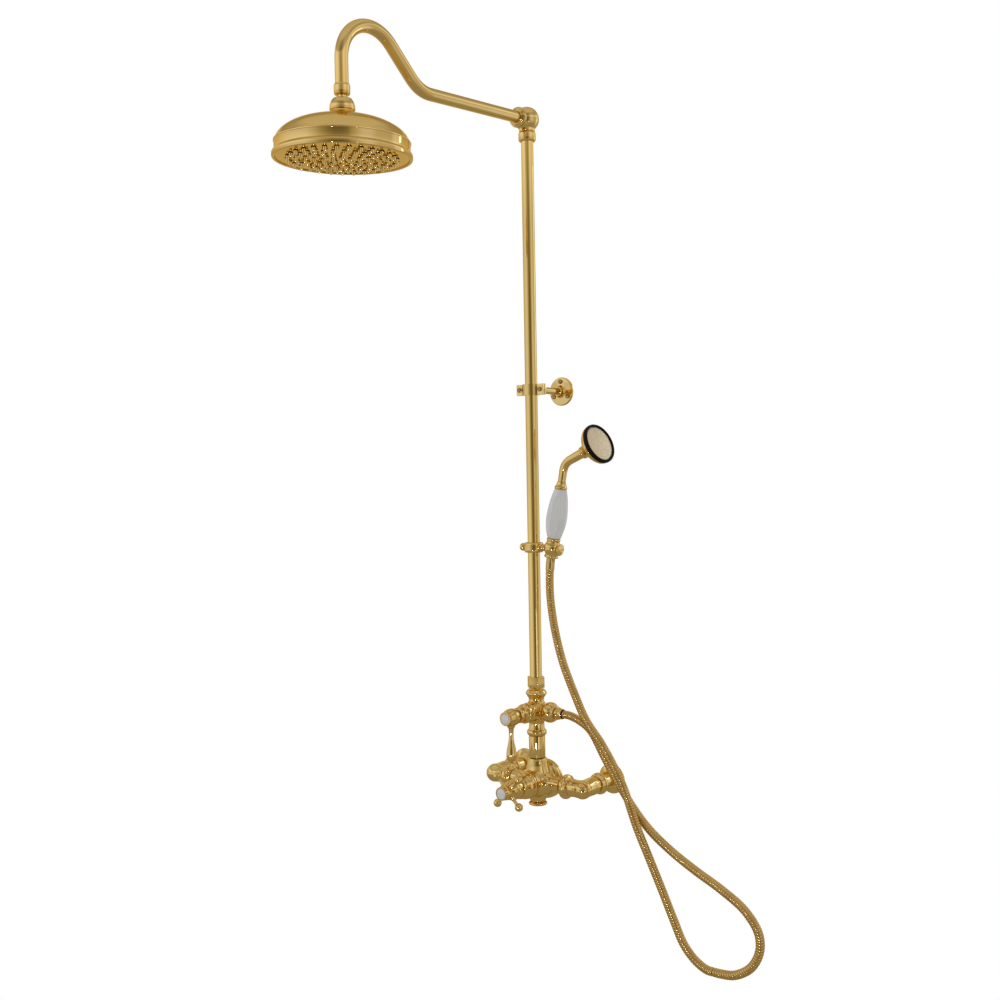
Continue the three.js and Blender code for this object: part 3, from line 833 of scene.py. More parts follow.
@dataclass
class Diverter:
    """The diverter above the valve, its front bonnet and the hose outlet."""

    body: str = "column"

    def build(self) -> None:
        """Builds the diverter's visible pieces."""
        foot = (0, AXIS_Y, 0)
        middle = (0, AXIS_Y, DIVERTER_Z)
        side = [
            (0, 0), (15, 8), (13.4, 14, 2), (13, 16.6, 0.5), (14.6, 17.4, 0.5), (14.6, 19.2, 0.5),
            (13, 20, 0.3), (0, 20),
        ]
        front = [
            (0, 0), (18, 8), (16.6, 17, 2), (16.2, 22, 0.6), (17, 23, 0.5), (17, 25.6, 0.6), (15.6, 27, 0.5),
            (15, 29.6, 0.4), (0, 29.6),
        ]
        parts = [(self._column(), UP, foot), (side, ALONG_X, middle), (front, OUTWARD, middle)]
        shape = turned_group(parts, 72)
        Piece("diverter_body_look", shape, POLISHED_BRASS, ("diverter_body",)).ride(self.body)
        bonnet = [
            (9.4, 30), (15.6, 30, 0.4), (16.6, 31.4, 0.6), (16.6, 36.6, 0.6), (15.4, 38, 0.5), (13.2, 40, 1),
            (12.4, 45, 1.6), (13.4, 49, 0.6), (13.4, 51.4, 0.6), (12, 53.4, 0.6), (11.4, 55.5, 0.4),
            (9.4, 55.5), (9.4, 30),
        ]
        turned("diverter_bonnet", bonnet, OUTWARD, middle, self.body)
        nut = [
            (7.6, 20.4), (12.4, 20.4, 0.5), (14.4, 22, 1), (17, 25.6, 1.8), (17.6, 30, 2.2), (17, 34.4, 1.8),
            (14.4, 38.6, 1), (13, 39.6, 0.4), (12.8, 42, 0.6), (12, 43, 0.3), (7.6, 43), (7.6, 20.4),
        ]
        turned("hose_outlet_nut", nut, ALONG_X, middle, self.body)

    @staticmethod
    def _column() -> Outline:
        """The upright profile, from the ring on the lower tube to the double-coned ring under the nut."""
        return [
            (0, 80.2), (14.4, 80.2, 0.4), (15.4, 81.4, 0.6), (17, 83.6, 0.8), (17.2, 87, 1), (16, 89.6, 0.7),
            (14, 91, 0.6), (13.4, 95, 1.2), (13.2, 103, 2), (16.4, 109, 3), (18, 116, 3), (18, 130, 3),
            (16.4, 135.6, 2), (13.6, 138.4, 1), (13.2, 141, 1), (13.2, 145, 1.2), (15.4, 148.2, 0.8),
            (18.2, 152.6, 0.8), (18.2, 154.4, 0.8), (15.2, 159, 0.8), (12.4, 160.6, 0.6), (11.6, 162.5, 0.3),
            (0, 162.5),
        ]


@dataclass
class Lever:
    """The diverter's lever: a round hub, a baluster stem hanging from it and a porcelain button."""

    body: str = "lever"

    def build(self) -> None:
        """Builds the lever and its button."""
        middle = (0, AXIS_Y, DIVERTER_Z)
        root = (0, AXIS_Y - 70.5, DIVERTER_Z)
        hub = [
            (0, 64), (4.4, 64), (4.4, 57), (10.4, 57, 0.5), (12, 58.6, 0.7), (14, 62.4, 1.6),
            (14.9, 68, 2.4), (14.6, 74, 2), (13.2, 78.4, 0.8), (12.4, 80.6, 0.6), (11.8, 82, 0.5),
            (11.8, 86, 0.5), (11.2, 86.6, 0.3), (8.9, 86.6, 0.2), (8.8, 84, 0.2), (0, 84),
        ]
        stem = [
            (0, 6), (8, 10), (6.6, 16, 1), (5, 17.6, 0.8), (4.2, 21, 1.6), (3.9, 28, 3), (4.6, 40, 5),
            (7.4, 52, 5), (8.9, 62, 4), (8.4, 69, 1.6), (6.6, 71.2, 0.6), (6.2, 73, 0.8), (3.6, 74.6, 1),
            (0, 75),
        ]
        shape = turned_group([(hub, OUTWARD, middle), (stem, DOWN, root)], 56)
        Piece("diverter_lever_look", shape, POLISHED_BRASS, ("diverter_lever",)).ride(self.body)
        button = [(0, 84.2), (8.6, 84.2), (8.65, 86.6, 0.8), (7.4, 87.5, 1), (3.6, 87.9, 1.5), (0, 88)]
        turned("lever_cap", button, OUTWARD, middle, self.body, PORCELAIN)


@dataclass
class Riser:
    """The riser tube with its hexagon nut and the collar at its top."""

    tube_r: float = 10.5
    nut_turn: float = math.radians(-10.6)
    body: str = "column"

    def build(self) -> None:
        """Builds the riser's pieces."""
        foot = (0, AXIS_Y, 0)
        low = moved(hex_prism(31, 163, 181.5, 0.5), seat(UP, foot) @ Matrix.Rotation(self.nut_turn, 4, "Z"))
        Piece("riser_nut_look", low, POLISHED_BRASS, ("riser_nut",)).ride(self.body)
        tube = [(8.7, 163), (self.tube_r, 163), (self.tube_r, RISER_TOP), (8.7, RISER_TOP), (8.7, 163)]
        turned("riser_tube", tube, UP, foot, self.body)
        collar = [
            (10.8, -12.5), (12.8, -12.5, 0.5), (14.6, -10.5, 0.8), (14.8, -7, 1), (14.8, 1, 1),
            (14.2, 2.5, 0.4), (10.8, 2.5), (10.8, -12.5),
        ]
        turned("riser_top_collar", collar, UP, (0, AXIS_Y, RISER_TOP), self.body)


@dataclass
class WallBracket:
    """The bracket: a screwed disc on the wall, a rod and a split clamp round the riser."""

    band_tall: float = 18.7
    band_r: float = 14.3
    screw_circle: float = 17.5
    ear_x: float = 22.0
    body: str = "column"

    def build(self) -> None:
        """Builds the bracket's pieces."""
        foot = (0, 0, BRACKET_Z)
        turned("bracket_flange", self._plate(), OUTWARD, foot, self.body)
        rod = [(0, 6.4), (5.9, 6.4), (5.9, 73.6, 0.4), (0, 73.6)]
        turned("bracket_rod", rod, OUTWARD, foot, self.body, sides=40)
        for i, degrees in enumerate((90, 210, 330)):
            a = math.radians(degrees)
            at = (self.screw_circle * math.cos(a), 0, BRACKET_Z + self.screw_circle * math.sin(a))
            self._screw(f"flange_screw_{i + 1}", at, 5.2, 25.0 + 40 * i)
        for name, facing in (("clamp_front", OUTWARD), ("clamp_rear", TO_WALL)):
            Piece(f"{name}_look", self._half(facing), POLISHED_BRASS, (name,)).ride(self.body)
        for name, x in (("clamp_screw_left", -self.ear_x), ("clamp_screw_right", self.ear_x)):
            self._screw(name, (x, AXIS_Y, BRACKET_Z), 5.0, 60.0)

    @staticmethod
    def _plate() -> Outline:
        """The wall disc, slightly dished, with a small collar for the rod."""
        return [
            (0, 0), (25, 0, 0.3), (25, 2.6, 0.8), (23.8, 4, 0.6), (14, 5, 2), (10.8, 5.4, 0.8), (9.4, 7.2, 1),
            (8.8, 9, 0.6), (8.8, 13.6, 0.6), (8, 15, 0.4), (6.2, 15), (6.2, 7), (0, 7),
        ]

    def _screw(self, name: str, at: Sequence[float], face: float, turn: float) -> None:
        """A slotted cheese-head screw facing out from the wall.

        Args:
            name: The CAD node it stands for.
            at: Its axis in millimetres.
            face: Height of the face under its head.
            turn: How far its slot is turned, in degrees.
        """
        head = [(0, face), (4.1, face), (4.1, face + 1.3, 0.5), (3, face + 2.2, 0.6), (0, face + 2.4)]
        shape = cut_slot(spun(head, 32), 1.0, 1.1, face + 2.4)
        moved(shape, Matrix.Rotation(math.radians(turn), 4, "Z"))
        moved(shape, seat(OUTWARD, at))
        Piece(f"{name}_look", shape, AGED_BRASS, (name,)).ride(self.body)

    def _half(self, facing: Vector) -> bmesh.types.BMesh:
        """One half of the clamp: a half band with a flat ear at each end.

        Args:
            facing: The side of the riser it lies on.

        Returns:
            The placed half.
        """
        bm = bmesh.new()
        half_tall = self.band_tall / 2
        low, high = -half_tall * MM, half_tall * MM
        bore, rim = 10.85 * MM, self.band_r * MM
        section = [bm.verts.new((r, 0, z)) for r, z in ((bore, low), (rim, low), (rim, high), (bore, high))]
        bmesh.ops.spin(
            bm,
            geom=[bm.faces.new(section)],
            cent=(0, 0, 0),
            axis=UP,
            dvec=(0, 0, 0),
            angle=-math.pi,
            steps=32,
            use_duplicate=False,
        )
        bmesh.ops.recalc_face_normals(bm, faces=bm.faces)
        for sign in (-1, 1):
            ear = Matrix.Translation(Vector((sign * 20.6, -2.55, 0)) * MM)
            absorb(bm, block((15.8, 4.1, self.band_tall), 0.35, ear))
            web = Matrix.Translation(Vector((sign * 14.2, -4.2, 0)) * MM)
            web = web @ Matrix.Rotation(sign * 0.6, 4, "Z")
            absorb(bm, block((6, 3.4, self.band_tall), 0.3, web))
        if facing.y > 0:
            boss = [(0, 11), (8, 12), (8, 14.4, 0.6), (7.2, 15.3, 0.4), (0, 15.3)]
            absorb(bm, moved(spun(boss, 40), seat(OUTWARD, (0, 0, 0))))
        turn = Matrix.Rotation(0 if facing.y < 0 else math.pi, 4, "Z")
        return moved(bm, Matrix.Translation(Vector((0, AXIS_Y, BRACKET_Z)) * MM) @ turn)


@dataclass
class SwanArm:
    """The ball elbow, the swan-neck arm and the ball that the rain head hangs from."""

    arm_r: float = 9.8
    body: str = "arm"

    def build(self) -> None:
        """Builds the arm's pieces."""
        ball = (0, AXIS_Y, ELBOW_Z)
        run = Vector((0, -math.cos(ARM_DROOP), -math.sin(ARM_DROOP)))
        socket = (0, HEAD_Y, HEAD_BALL_Z)
        knuckle = [(0, -21.8), (12.4, -21.8), (13.6, -20.6, 0.6), *arc(20.8, -50, 89, 26), (0, 20.8)]
        mouth = [(0, 8), (13.4, 14), (12.6, 20, 1), (12, 21, 0.3), (0, 21)]
        shape = turned_group([(knuckle, UP, ball), (mouth, run, ball)], 72)
        Piece("elbow_ball_look", shape, POLISHED_BRASS, ("elbow_ball",)).ride(self.body)
        nut = [
            (10.1, 21.3), (14.6, 21.3, 0.4), (16.6, 22.6, 0.8), (17.2, 24.6, 0.8), (16.6, 26.6, 0.6),
            (13.8, 28, 0.8), (12.2, 29.4, 0.6), (11, 30, 0.3), (10.1, 30), (10.1, 21.3),
        ]
        turned("arm_nut", nut, run, ball, self.body)
        route = self.route()
        tube = [(8.4, 0), (self.arm_r, 0), (self.arm_r, route.length), (8.4, route.length), (8.4, 0)]
        shape = swept(divided(tube, 3.0), route, sides=48)
        Piece("shower_arm_look", shape, POLISHED_BRASS, ("shower_arm",)).ride(self.body)
        collar = [
            (0, 18), (10.4, 18, 0.4), (11.6, 19.6, 0.7), (11.8, 23, 0.8), (11.8, 31, 0.8), (11, 33, 0.4),
            (10.1, 33), (10.1, 21.5), (0, 21.5),
        ]
        turned("arm_end_collar", collar, UP, socket, self.body)
        bead = [(0, -14), *arc(14, -89, 62, 22), (6.4, 12.8, 0.4), (6.4, 17.7), (0, 17.7)]
        turned("swivel_ball", bead, UP, socket, self.body, sides=56)

    @staticmethod
    def route() -> Route:
        """The arm's centre line: a slightly falling run, a climb and a turn over the top to point down."""
        start = Vector((0, AXIS_Y - 21.6, ELBOW_Z - 1.1))
        over = Vector((0, HEAD_Y + ARM_BEND, 1129))
        out = Vector((0, -math.cos(ARM_DROOP), -math.sin(ARM_DROOP)))
        climb = Vector((0, -math.cos(ARM_RISE), math.sin(ARM_RISE)))
        crest = [
            over + Vector((0, -math.sin(a), math.cos(a))) * ARM_BEND
            for a in (-ARM_RISE + (math.pi / 2 + ARM_RISE) * i / 40 for i in range(41))
        ]
        across = crest[0] - start
        det = out.y * climb.z - out.z * climb.y
        corner = start + out * ((across.y * climb.z - across.z * climb.y) / det)
        setback = ARM_BEND * math.tan((ARM_RISE + ARM_DROOP) / 2)
        enter, leave = corner - out * setback, corner + climb * setback
        bend = bent(enter, corner, leave, 16)
        straight = [start.lerp(enter, i / 40) for i in range(40)]
        rise = [leave.lerp(crest[0], i / 12) for i in range(1, 12)]
        drop = [crest[-1].lerp(Vector((0, HEAD_Y, HEAD_BALL_Z + 22)), i / 12) for i in range(1, 13)]
        return Route([*straight, *bend, *rise, *crest, *drop], smooth=False)


@dataclass
class RainHead:
    """The rain head on its ball joint: cover, dome, gasket and the spray plate with its nozzles, with dark
    rings of painted shade round the nozzles' feet.
    """

    rings: tuple[tuple[float, int], ...] = (
        (0, 1), (13.5, 6), (27, 12), (40, 17), (53, 22), (65.5, 26), (77.5, 29),
    )
    seed: int = 7
    plate_face: float = -72.35
    plate_rise: float = 0.00009
    body: str = "rain_head"
    lean: Matrix = field(
        default_factory=lambda: Matrix.Rotation(HEAD_TILT_X, 4, "X") @ Matrix.Rotation(HEAD_TILT_Y, 4, "Y")
    )

    def build(self) -> None:
        """Builds the head's pieces."""
        place = Matrix.Translation(Vector((0, HEAD_Y, HEAD_BALL_Z)) * MM) @ self.lean
        here = (0, 0, 0)
        turned("ball_cover", self._cover(), UP, here, self.body, sides=72, place=place)
        turned("head_dome", self._dome(), UP, here, self.body, sides=160, place=place)
        gasket = [(90, -69.3), (95, -69.3), (95, -67.2), (90, -67.2), (90, -69.3)]
        turned("head_gasket", gasket, UP, here, self.body, BLACK_RUBBER, 96, place)
        disc = spun([(0, -72.4), (60, -72.2, 20), (95, -71.2), (95, -69.6), (0, -69.6)], 96)
        plate = self._repeated(disc, self._nozzle(), 10)
        Piece("spray_plate_look", moved(plate, place), POLISHED_BRASS, ("spray_plate",)).ride(self.body)
        # Black rubber rings round every nozzle's foot are painted shade. They stand for the shade and dark
        # reflections at the nozzles' bases, not for real washers.
        shade_rings = self._repeated(bmesh.new(), [(2, 0), (3.8, 0), (3.5, 0.7), (2, 0.7), (2, 0)], 10)
        Piece("nozzle_shade_rings_look", moved(shade_rings, place), BLACK_RUBBER, ("spray_plate",)).ride(self.body)

    @staticmethod
    def _cover() -> Outline:
        """The round cap over the ball, flaring on to the dome."""
        return [
            (16, -12.9), (23.2, -12.9, 0.3), (23.2, -12, 0.4), (20.6, -9.8, 1.6), (18, -7, 1.6),
            (17, -4.9, 0.8), (18.1, -4, 0.3), (18.6, -3, 0.4), (18.5, -1.8, 0.4), *arc(18.2, -1, 43, 10),
            (12.8, 12.6, 0.5), (11.9, 12.6, 0.3), (11.9, 9.4, 0.3), *arc(15.9, 30, -30, 8), (16, -12.9),
        ]

    @staticmethod
    def _dome() -> Outline:
        """The dome: a low crown, a step, an upright band and a rolled lip."""
        return [
            (17, -15.4), (24, -15.2, 9), (38, -16.7, 9), (51, -19.3, 9), (64, -23.3, 9), (75, -28.2, 9),
            (83, -33.4, 9), (88, -38, 9), (92, -43.2, 9), (94, -48, 9), (95.4, -54, 3), (95.4, -72.2, 0.2),
            (97.2, -73, 0.6), (99.8, -72.6, 0.9), (100.4, -70.4, 0.9), (100.4, -66.6, 0.9),
            (99.4, -64.8, 0.9), (97.4, -64, 0.5), (97, -62, 0.6), (97, -51, 0.3), (97.8, -50.4, 0.4),
            (97.7, -48.8, 0.5), (96.6, -48, 0.3), (95.8, -46.6, 0.8), (93.6, -42, 9), (89.5, -36.7, 9),
            (84, -32, 9), (75, -26.4, 9), (64, -21.6, 9), (51, -17.8, 9), (38, -15, 9), (24, -12.6, 2),
            (23.4, -11.6, 0.4), (23.4, -13.2), (17, -13.2), (17, -15.4),
        ]

    def _repeated(self, into: bmesh.types.BMesh, outline: Outline, sides: int) -> bmesh.types.BMesh:
        """Adds one turned shape at every nozzle's place, hanging from the plate's lower face.

        Args:
            into: The shape that takes them.
            outline: The turned shape's rows, down from the plate.
            sides: Faces round it.

        Returns:
            The same shape, filled.
        """
        turns = random.Random(self.seed)
        for radius, count in self.rings:
            offset = turns.uniform(0, TURN / count)
            for i in range(count):
                a = offset + TURN * i / count
                face = self.plate_face + self.plate_rise * radius * radius
                place = seat(DOWN, (radius * math.cos(a), radius * math.sin(a), face))
                absorb(into, moved(spun(outline, sides), place))
        return into

    @staticmethod
    def _nozzle() -> Outline:
        """A small coned nozzle with an open mouth."""
        return [(0, 0), (2.9, 0), (2.7, 1.6), (2, 5.4), (1.6, 6.2), (0.9, 6.2), (0.8, 5), (0, 5)]


@dataclass
class Slider:
    """The slider on the riser with its thumb knob, and the tilting cradle."""

    body: str = "slider"
    cradle_body: str = "tilting_cradle"

    def build(self) -> None:
        """Builds the slider, its knob and the cradle."""
        middle = (0, AXIS_Y, SLIDER_Z)
        left = -ALONG_X
        band = [
            (12.9, -8.5), (15, -8.5, 0.5), (16.2, -7.3, 0.7), (16.8, -4, 1), (16.8, 4, 1), (16.2, 7.3, 0.7),
            (15, 8.5, 0.5), (12.9, 8.5), (12.9, -8.5),
        ]
        arm = [
            (0, 13.5), (7, 13.5), (6.8, 16, 0.8), (5.4, 17.6, 0.6), (4.8, 18.4, 0.4), (6, 19.6, 0.6),
            (6, 21.2, 0.6), (4.8, 22.2, 0.4), (5.9, 23.4, 0.5), (5.9, 24.8, 0.5), (5.2, 25.5, 0.3),
            (0, 25.5),
        ]
        boss = [(0, 13.5), (5.4, 13.5), (5.2, 17, 0.6), (4.6, 17.8, 0.3), (0, 17.8)]
        shape = turned_group([(band, UP, middle), (arm, ALONG_X, middle), (boss, left, middle)], 48)
        Piece("slider_clamp_look", shape, POLISHED_BRASS, ("slider_clamp",)).ride(self.body)
        knob = [
            (0, 13), (2.4, 13), (2.4, 18.2), (4.8, 18.2, 0.3), (5.2, 19.2, 0.4), (6.4, 20.4, 0.6),
            (6.8, 22.6, 1), (6.4, 25.6, 1.2), (4, 28, 1.2), (0, 28.4),
        ]
        turned("slider_knob", knob, left, middle, "thumb_knob", sides=40)
        self._cradle()

    def _cradle(self) -> None:
        """The ball-shaped cradle that holds the hose cone, and the slotted screw at its side."""
        place = Matrix.Translation(Vector((CRADLE_X, AXIS_Y, SLIDER_Z)) * MM)
        place = place @ Matrix.Rotation(HANDLE_LEAN, 4, "Y")
        cup = [
            (9.9, -16.6), (11.4, -16.6, 0.5), (12, -15, 0.6), (11.8, -13.4, 0.4), (10.8, -12.4, 0.5),
            *arc(14.6, -40, 40, 18), (10.8, 12, 0.6), (11.6, 13.2, 0.5), (11.8, 15.4, 0.6), (11.2, 16.6, 0.4),
            (9.9, 16.6), (9.9, -16.6),
        ]
        turned("cradle", cup, UP, (0, 0, 0), self.cradle_body, place=place)
        disc = [
            (0, 14.6), (9.6, 14.6, 0.3), (10.3, 15.6, 0.5), (10.3, 16.8, 0.6), (9.2, 17.8, 0.5), (0, 17.8),
        ]
        shape = cut_slot(spun(disc, 48), 1.8, 1.8, 17.8)
        moved(shape, place @ seat(ALONG_X, (0, 0, 0)) @ Matrix.Rotation(math.radians(5), 4, "Z"))
        Piece("cradle_screw_look", shape, POLISHED_BRASS, ("cradle_screw",)).ride(self.cradle_body)


@dataclass
class HandShower:
    """The hand shower: hose cone, porcelain handle, ferrule, neck, bell, rubber ring and face plate."""

    body: str = "hand_shower"
    corner_run: float = 146.0
    face_run: float = 42.0
    jet_height: float = 42.1
    jet_fall: float = 0.0019
    rose_rings: tuple[tuple[float, int], ...] = (
        (0, 1), (4, 6), (8, 12), (12, 19), (16, 25), (20, 31), (24, 38),
    )

    def build(self) -> None:
        """Builds the hand shower's pieces."""
        centre = Vector((CRADLE_X, AXIS_Y, SLIDER_Z))
        lean = Vector((math.sin(HANDLE_LEAN), 0, math.cos(HANDLE_LEAN)))
        facing = Matrix.Rotation(FACE_TURN, 3, lean) @ Vector((math.cos(FACE_PITCH), 0, math.sin(FACE_PITCH)))
        cone = [
            (0, -17), (8.4, -17, 0.3), (8.9, -15, 0.6), (9.3, -10, 1), (9.3, 10, 1), (9.2, 16.8, 0.4),
            (8.8, 17.3, 0.3), (0, 17.3),
        ]
        turned("hose_cone", cone, lean, centre, "hose_end")
        grip = moved(self._grip(), seat(lean, centre))
        Piece("porcelain_handle_look", grip, PORCELAIN, ("porcelain_handle",)).ride(self.body)
        ferrule = [
            (0, 102.4), (10.2, 102.4, 0.3), (10.8, 103.4, 0.5), (10.6, 105.4, 0.6), (9.2, 107.4, 1),
            (7.8, 111.4, 1.5), (7.2, 114.6, 0.4), (0, 114.6),
        ]
        turned("handle_ferrule", ferrule, lean, centre, self.body)
        corner = centre + lean * self.corner_run
        end = corner + facing * self.face_run
        self._neck(centre + lean * 115, corner, end)
        turned("handset_bell", self._bell(), facing, end, self.body, sides=96)
        ring = [
            (29.6, 36.4), (33.6, 36.4, 0.4), (34, 38, 0.5), (34, 41, 1.4), (32.6, 43, 1.2), (30.6, 43.2, 0.8),
            (29.6, 42.2, 0.4), (29.6, 36.4),
        ]
        turned("handset_ring", ring, facing, end, self.body, BLACK_RUBBER, 96)
        shape = moved(self._face(), seat(facing, end))
        Piece("handset_face_look", shape, PALE_FACE, ("handset_face",)).ride(self.body)

    @staticmethod
    def _grip() -> bmesh.types.BMesh:
        """The barrel-shaped porcelain handle, round at its ends and softly eight-sided between."""
        bm = spun(
            [
                (0, 17.6), (10.8, 17.6, 0.6), (11.8, 18.8, 0.8), (14, 26, 6), (16.6, 38, 8), (17.6, 50, 8),
                (17, 64, 8), (15.2, 80, 8), (12.4, 94, 6), (10.9, 100, 2), (10.2, 102, 0.6), (0, 102),
            ],
            96,
        )
        for vert in bm.verts:
            up = min(1.0, max(0.0, (vert.co.z / MM - 20) / 14))
            down = min(1.0, max(0.0, (100 - vert.co.z / MM) / 16))
            share = up * up * (3 - 2 * up) * down * down * (3 - 2 * down)
            bearing = math.atan2(vert.co.y, vert.co.x) % (math.pi / 4)
            flat = math.cos(math.pi / 8) / math.cos(bearing - math.pi / 8)
            shrink = 1 + share * (flat * 1.025 - 1)
            vert.co.x *= shrink
            vert.co.y *= shrink
        return bm

    def _neck(self, start: Vector, corner: Vector, end: Vector) -> None:
        """The bent neck, widening towards the bell.

        Args:
            start: Where it leaves the ferrule.
            corner: Where its two straights would meet.
            end: Where it meets the bell.
        """
        ease = 14.0
        enter = corner + (start - corner).normalized() * ease
        leave = corner + (end - corner).normalized() * ease
        route = Route([start, *bent(enter, corner, leave, 20), end], smooth=False)
        rows: list[Row] = [(0, 0)]
        count = 30
        for i in range(count + 1):
            share = i / count
            rows.append((6.7 + 1.3 * share * share * (3 - 2 * share), route.length * share))
        rows.append((0, route.length))
        shape = swept(rows, route, sides=48)
        Piece("handset_neck_look", shape, POLISHED_BRASS, ("handset_neck",)).ride(self.body)

    @staticmethod
    def _bell() -> Outline:
        """The shallow bell behind the face, with a ringed root."""
        return [
            (0, 0.4), (8.8, 0.4, 0.3), (10.4, 1.8, 0.6), (10.6, 4, 0.6), (9.8, 5.2, 0.4), (9.8, 6.6, 0.4),
            (11.4, 8, 0.6), (12, 10.4, 0.8), (14, 14, 2), (21, 20.4, 4), (28.6, 26.4, 3), (32.8, 31.6, 2),
            (33.6, 36, 0.4), (31.2, 36, 0.2), (24, 28.6, 2), (12, 20, 1), (0, 19),
        ]

    def _face(self) -> bmesh.types.BMesh:
        """The pale face plate, slightly crowned, with its rings of fine jets."""
        plate = spun([(0, 37.6), (29.4, 37.6), (29.4, 40.2, 0.5), (27, 41, 2), (12, 42, 6), (0, 42.3)], 96)
        for radius, count in self.rose_rings:
            for i in range(count):
                a = TURN * (i + radius * 0.13) / count
                height = self.jet_height - self.jet_fall * radius * radius
                jet = spun([(0, 0), (0.75, 0), (0.55, 0.7), (0.25, 0.7), (0, 0.3)], 8)
                absorb(plate, moved(jet, seat(UP, (radius * math.cos(a), radius * math.sin(a), height))))
        return plate


@dataclass
class Hose:
    """The interlocked brass hose, from the diverter's outlet round its loop and up into the cradle."""

    radius: float = HOSE_R
    pitch: float = 4.25
    groove: float = 0.75
    sleeve: float = 21.0
    lower: tuple[tuple[float, float, float], ...] = (
        (57.6, -89, 123), (72, -89, 122), (89, -87, 116), (109, -84, 102), (138, -81, 55), (180, -80, -5),
        (217, -80, -44), (259, -81, -72), (304, -83, -94), (352, -84, -115), (391, -85, -137),
        (413, -86, -162), (418, -86, -180), (416, -87, -200), (402, -88, -224), (376, -89, -241),
        (352, -89, -245.2), (340, -89, -245.6),
    )
    upper: tuple[tuple[float, float, float], ...] = (
        (339, -89, -245.6), (327, -89, -245), (308, -90, -235), (289, -92, -214), (272, -94, -178),
        (252, -96, -133), (231, -97, -89), (208, -98, -41), (180, -98, 26), (143, -98, 83), (109, -96, 121),
        (82, -94, 168), (59, -92, 216), (44, -91, 266), (35, -90, 316), (33, -89, 350), (35.2, -89, 380.5),
        (36.6, -89, 387.8),
    )
    top_run: float = 90.0
    middle_run: float = 100.0

    def build(self) -> None:
        tail = [
            (0, 43.4), (9.6, 43.4, 0.4), (10.4, 44.4, 0.5), (10.4, 48.6, 0.5), (9.4, 49.6, 0.4), (9, 51, 0.6),
            (9, 55.6, 0.6), (8.4, 56.5, 0.3), (0, 56.5),
        ]
        nut = turned("hose_nut", tail, ALONG_X, (0, AXIS_Y, DIVERTER_Z), "column")
        seal = [(0, 56.6), (7.9, 56.6, 0.3), (7.9, 57.8, 0.3), (0, 57.8)]
        ring = moved(spun(seal, 40), seat(ALONG_X, (0, AXIS_Y, DIVERTER_Z)))
        Piece("hose_seal_look", ring, BLACK_RUBBER, ("hose_nut",)).ride("column")
        lower = Route(self.lower)
        piece = self._length("hose_lower_look", lower, 0, lower.length, "hose_lower")
        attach(piece, "column")

        upper = Route(self.upper)
        top = upper.length - self.top_run
        middle = top - self.middle_run
        for name, start, end, bodies in (
            ("hose_long_look", 0, middle, ("column", "slider")),
            ("hose_middle_look", middle, top, ("slider", "tilting_cradle")),
            ("hose_top_look", top, upper.length, ("tilting_cradle", "hose_end")),
        ):
            piece = self._length(name, upper, start, end, "hose_upper")
            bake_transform(piece)

    def _length(self, name: str, route: Route, start: float, end: float, node: str) -> bpy.types.Object:
        """A length of ribbed hose.

        Args:
            name: The piece's name.
            route: The centre line.
            start: Where on it the length starts, in millimetres.
            end: Where it ends.
            node: The CAD node it stands for.

        Returns:
            The finished object.
        """
        plain = self.sleeve if end == route.length and node == "hose_upper" else 0.0
        ribs = round((end - start - plain) / self.pitch)
        pitch = (end - start - plain) / ribs
        low = self.radius - self.groove
        rows: list[Row] = [(0, 0), (low, 0)]
        for i in range(ribs):
            base = i * pitch
            for share, drop in ((0.14, 0.16), (0.32, 0.03), (0.5, 0.0), (0.68, 0.03), (0.86, 0.16)):
                rows.append((self.radius + 0.02 - drop, base + pitch * share))
            rows.append((low, base + pitch))
        if plain:
            base = end - start - plain
            rows += [(self.radius + 0.5, base + 0.1), (self.radius + 0.6, base + 1)]
            rows += divided([(self.radius + 0.6, base + 4), (self.radius + 0.4, end - start)], 3.0)
        rows.append((0, end - start))
        shape = swept(rows, route, start, 18)
        return Piece(name, shape, HOSE_BRASS, (node,), math.radians(60)).build()


@dataclass
class Inner:
    """The inner pieces that stay as CAD nodes and only get their finish."""

    finishes: tuple[tuple[str, Finish], ...] = (
        ("thermostatic_cartridge", AGED_BRASS),
        ("diverter_cartridge", AGED_BRASS),
        ("slider_lining", ACETAL),
        ("ball_seat", ACETAL),
    )

    def build(self) -> None:
        """Dresses the CAD nodes."""
        for name, finish in self.finishes:
            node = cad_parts[name]
            node.data.materials.clear()
            node.data.materials.append(finish.material())
            log.info("dressed %s", name)


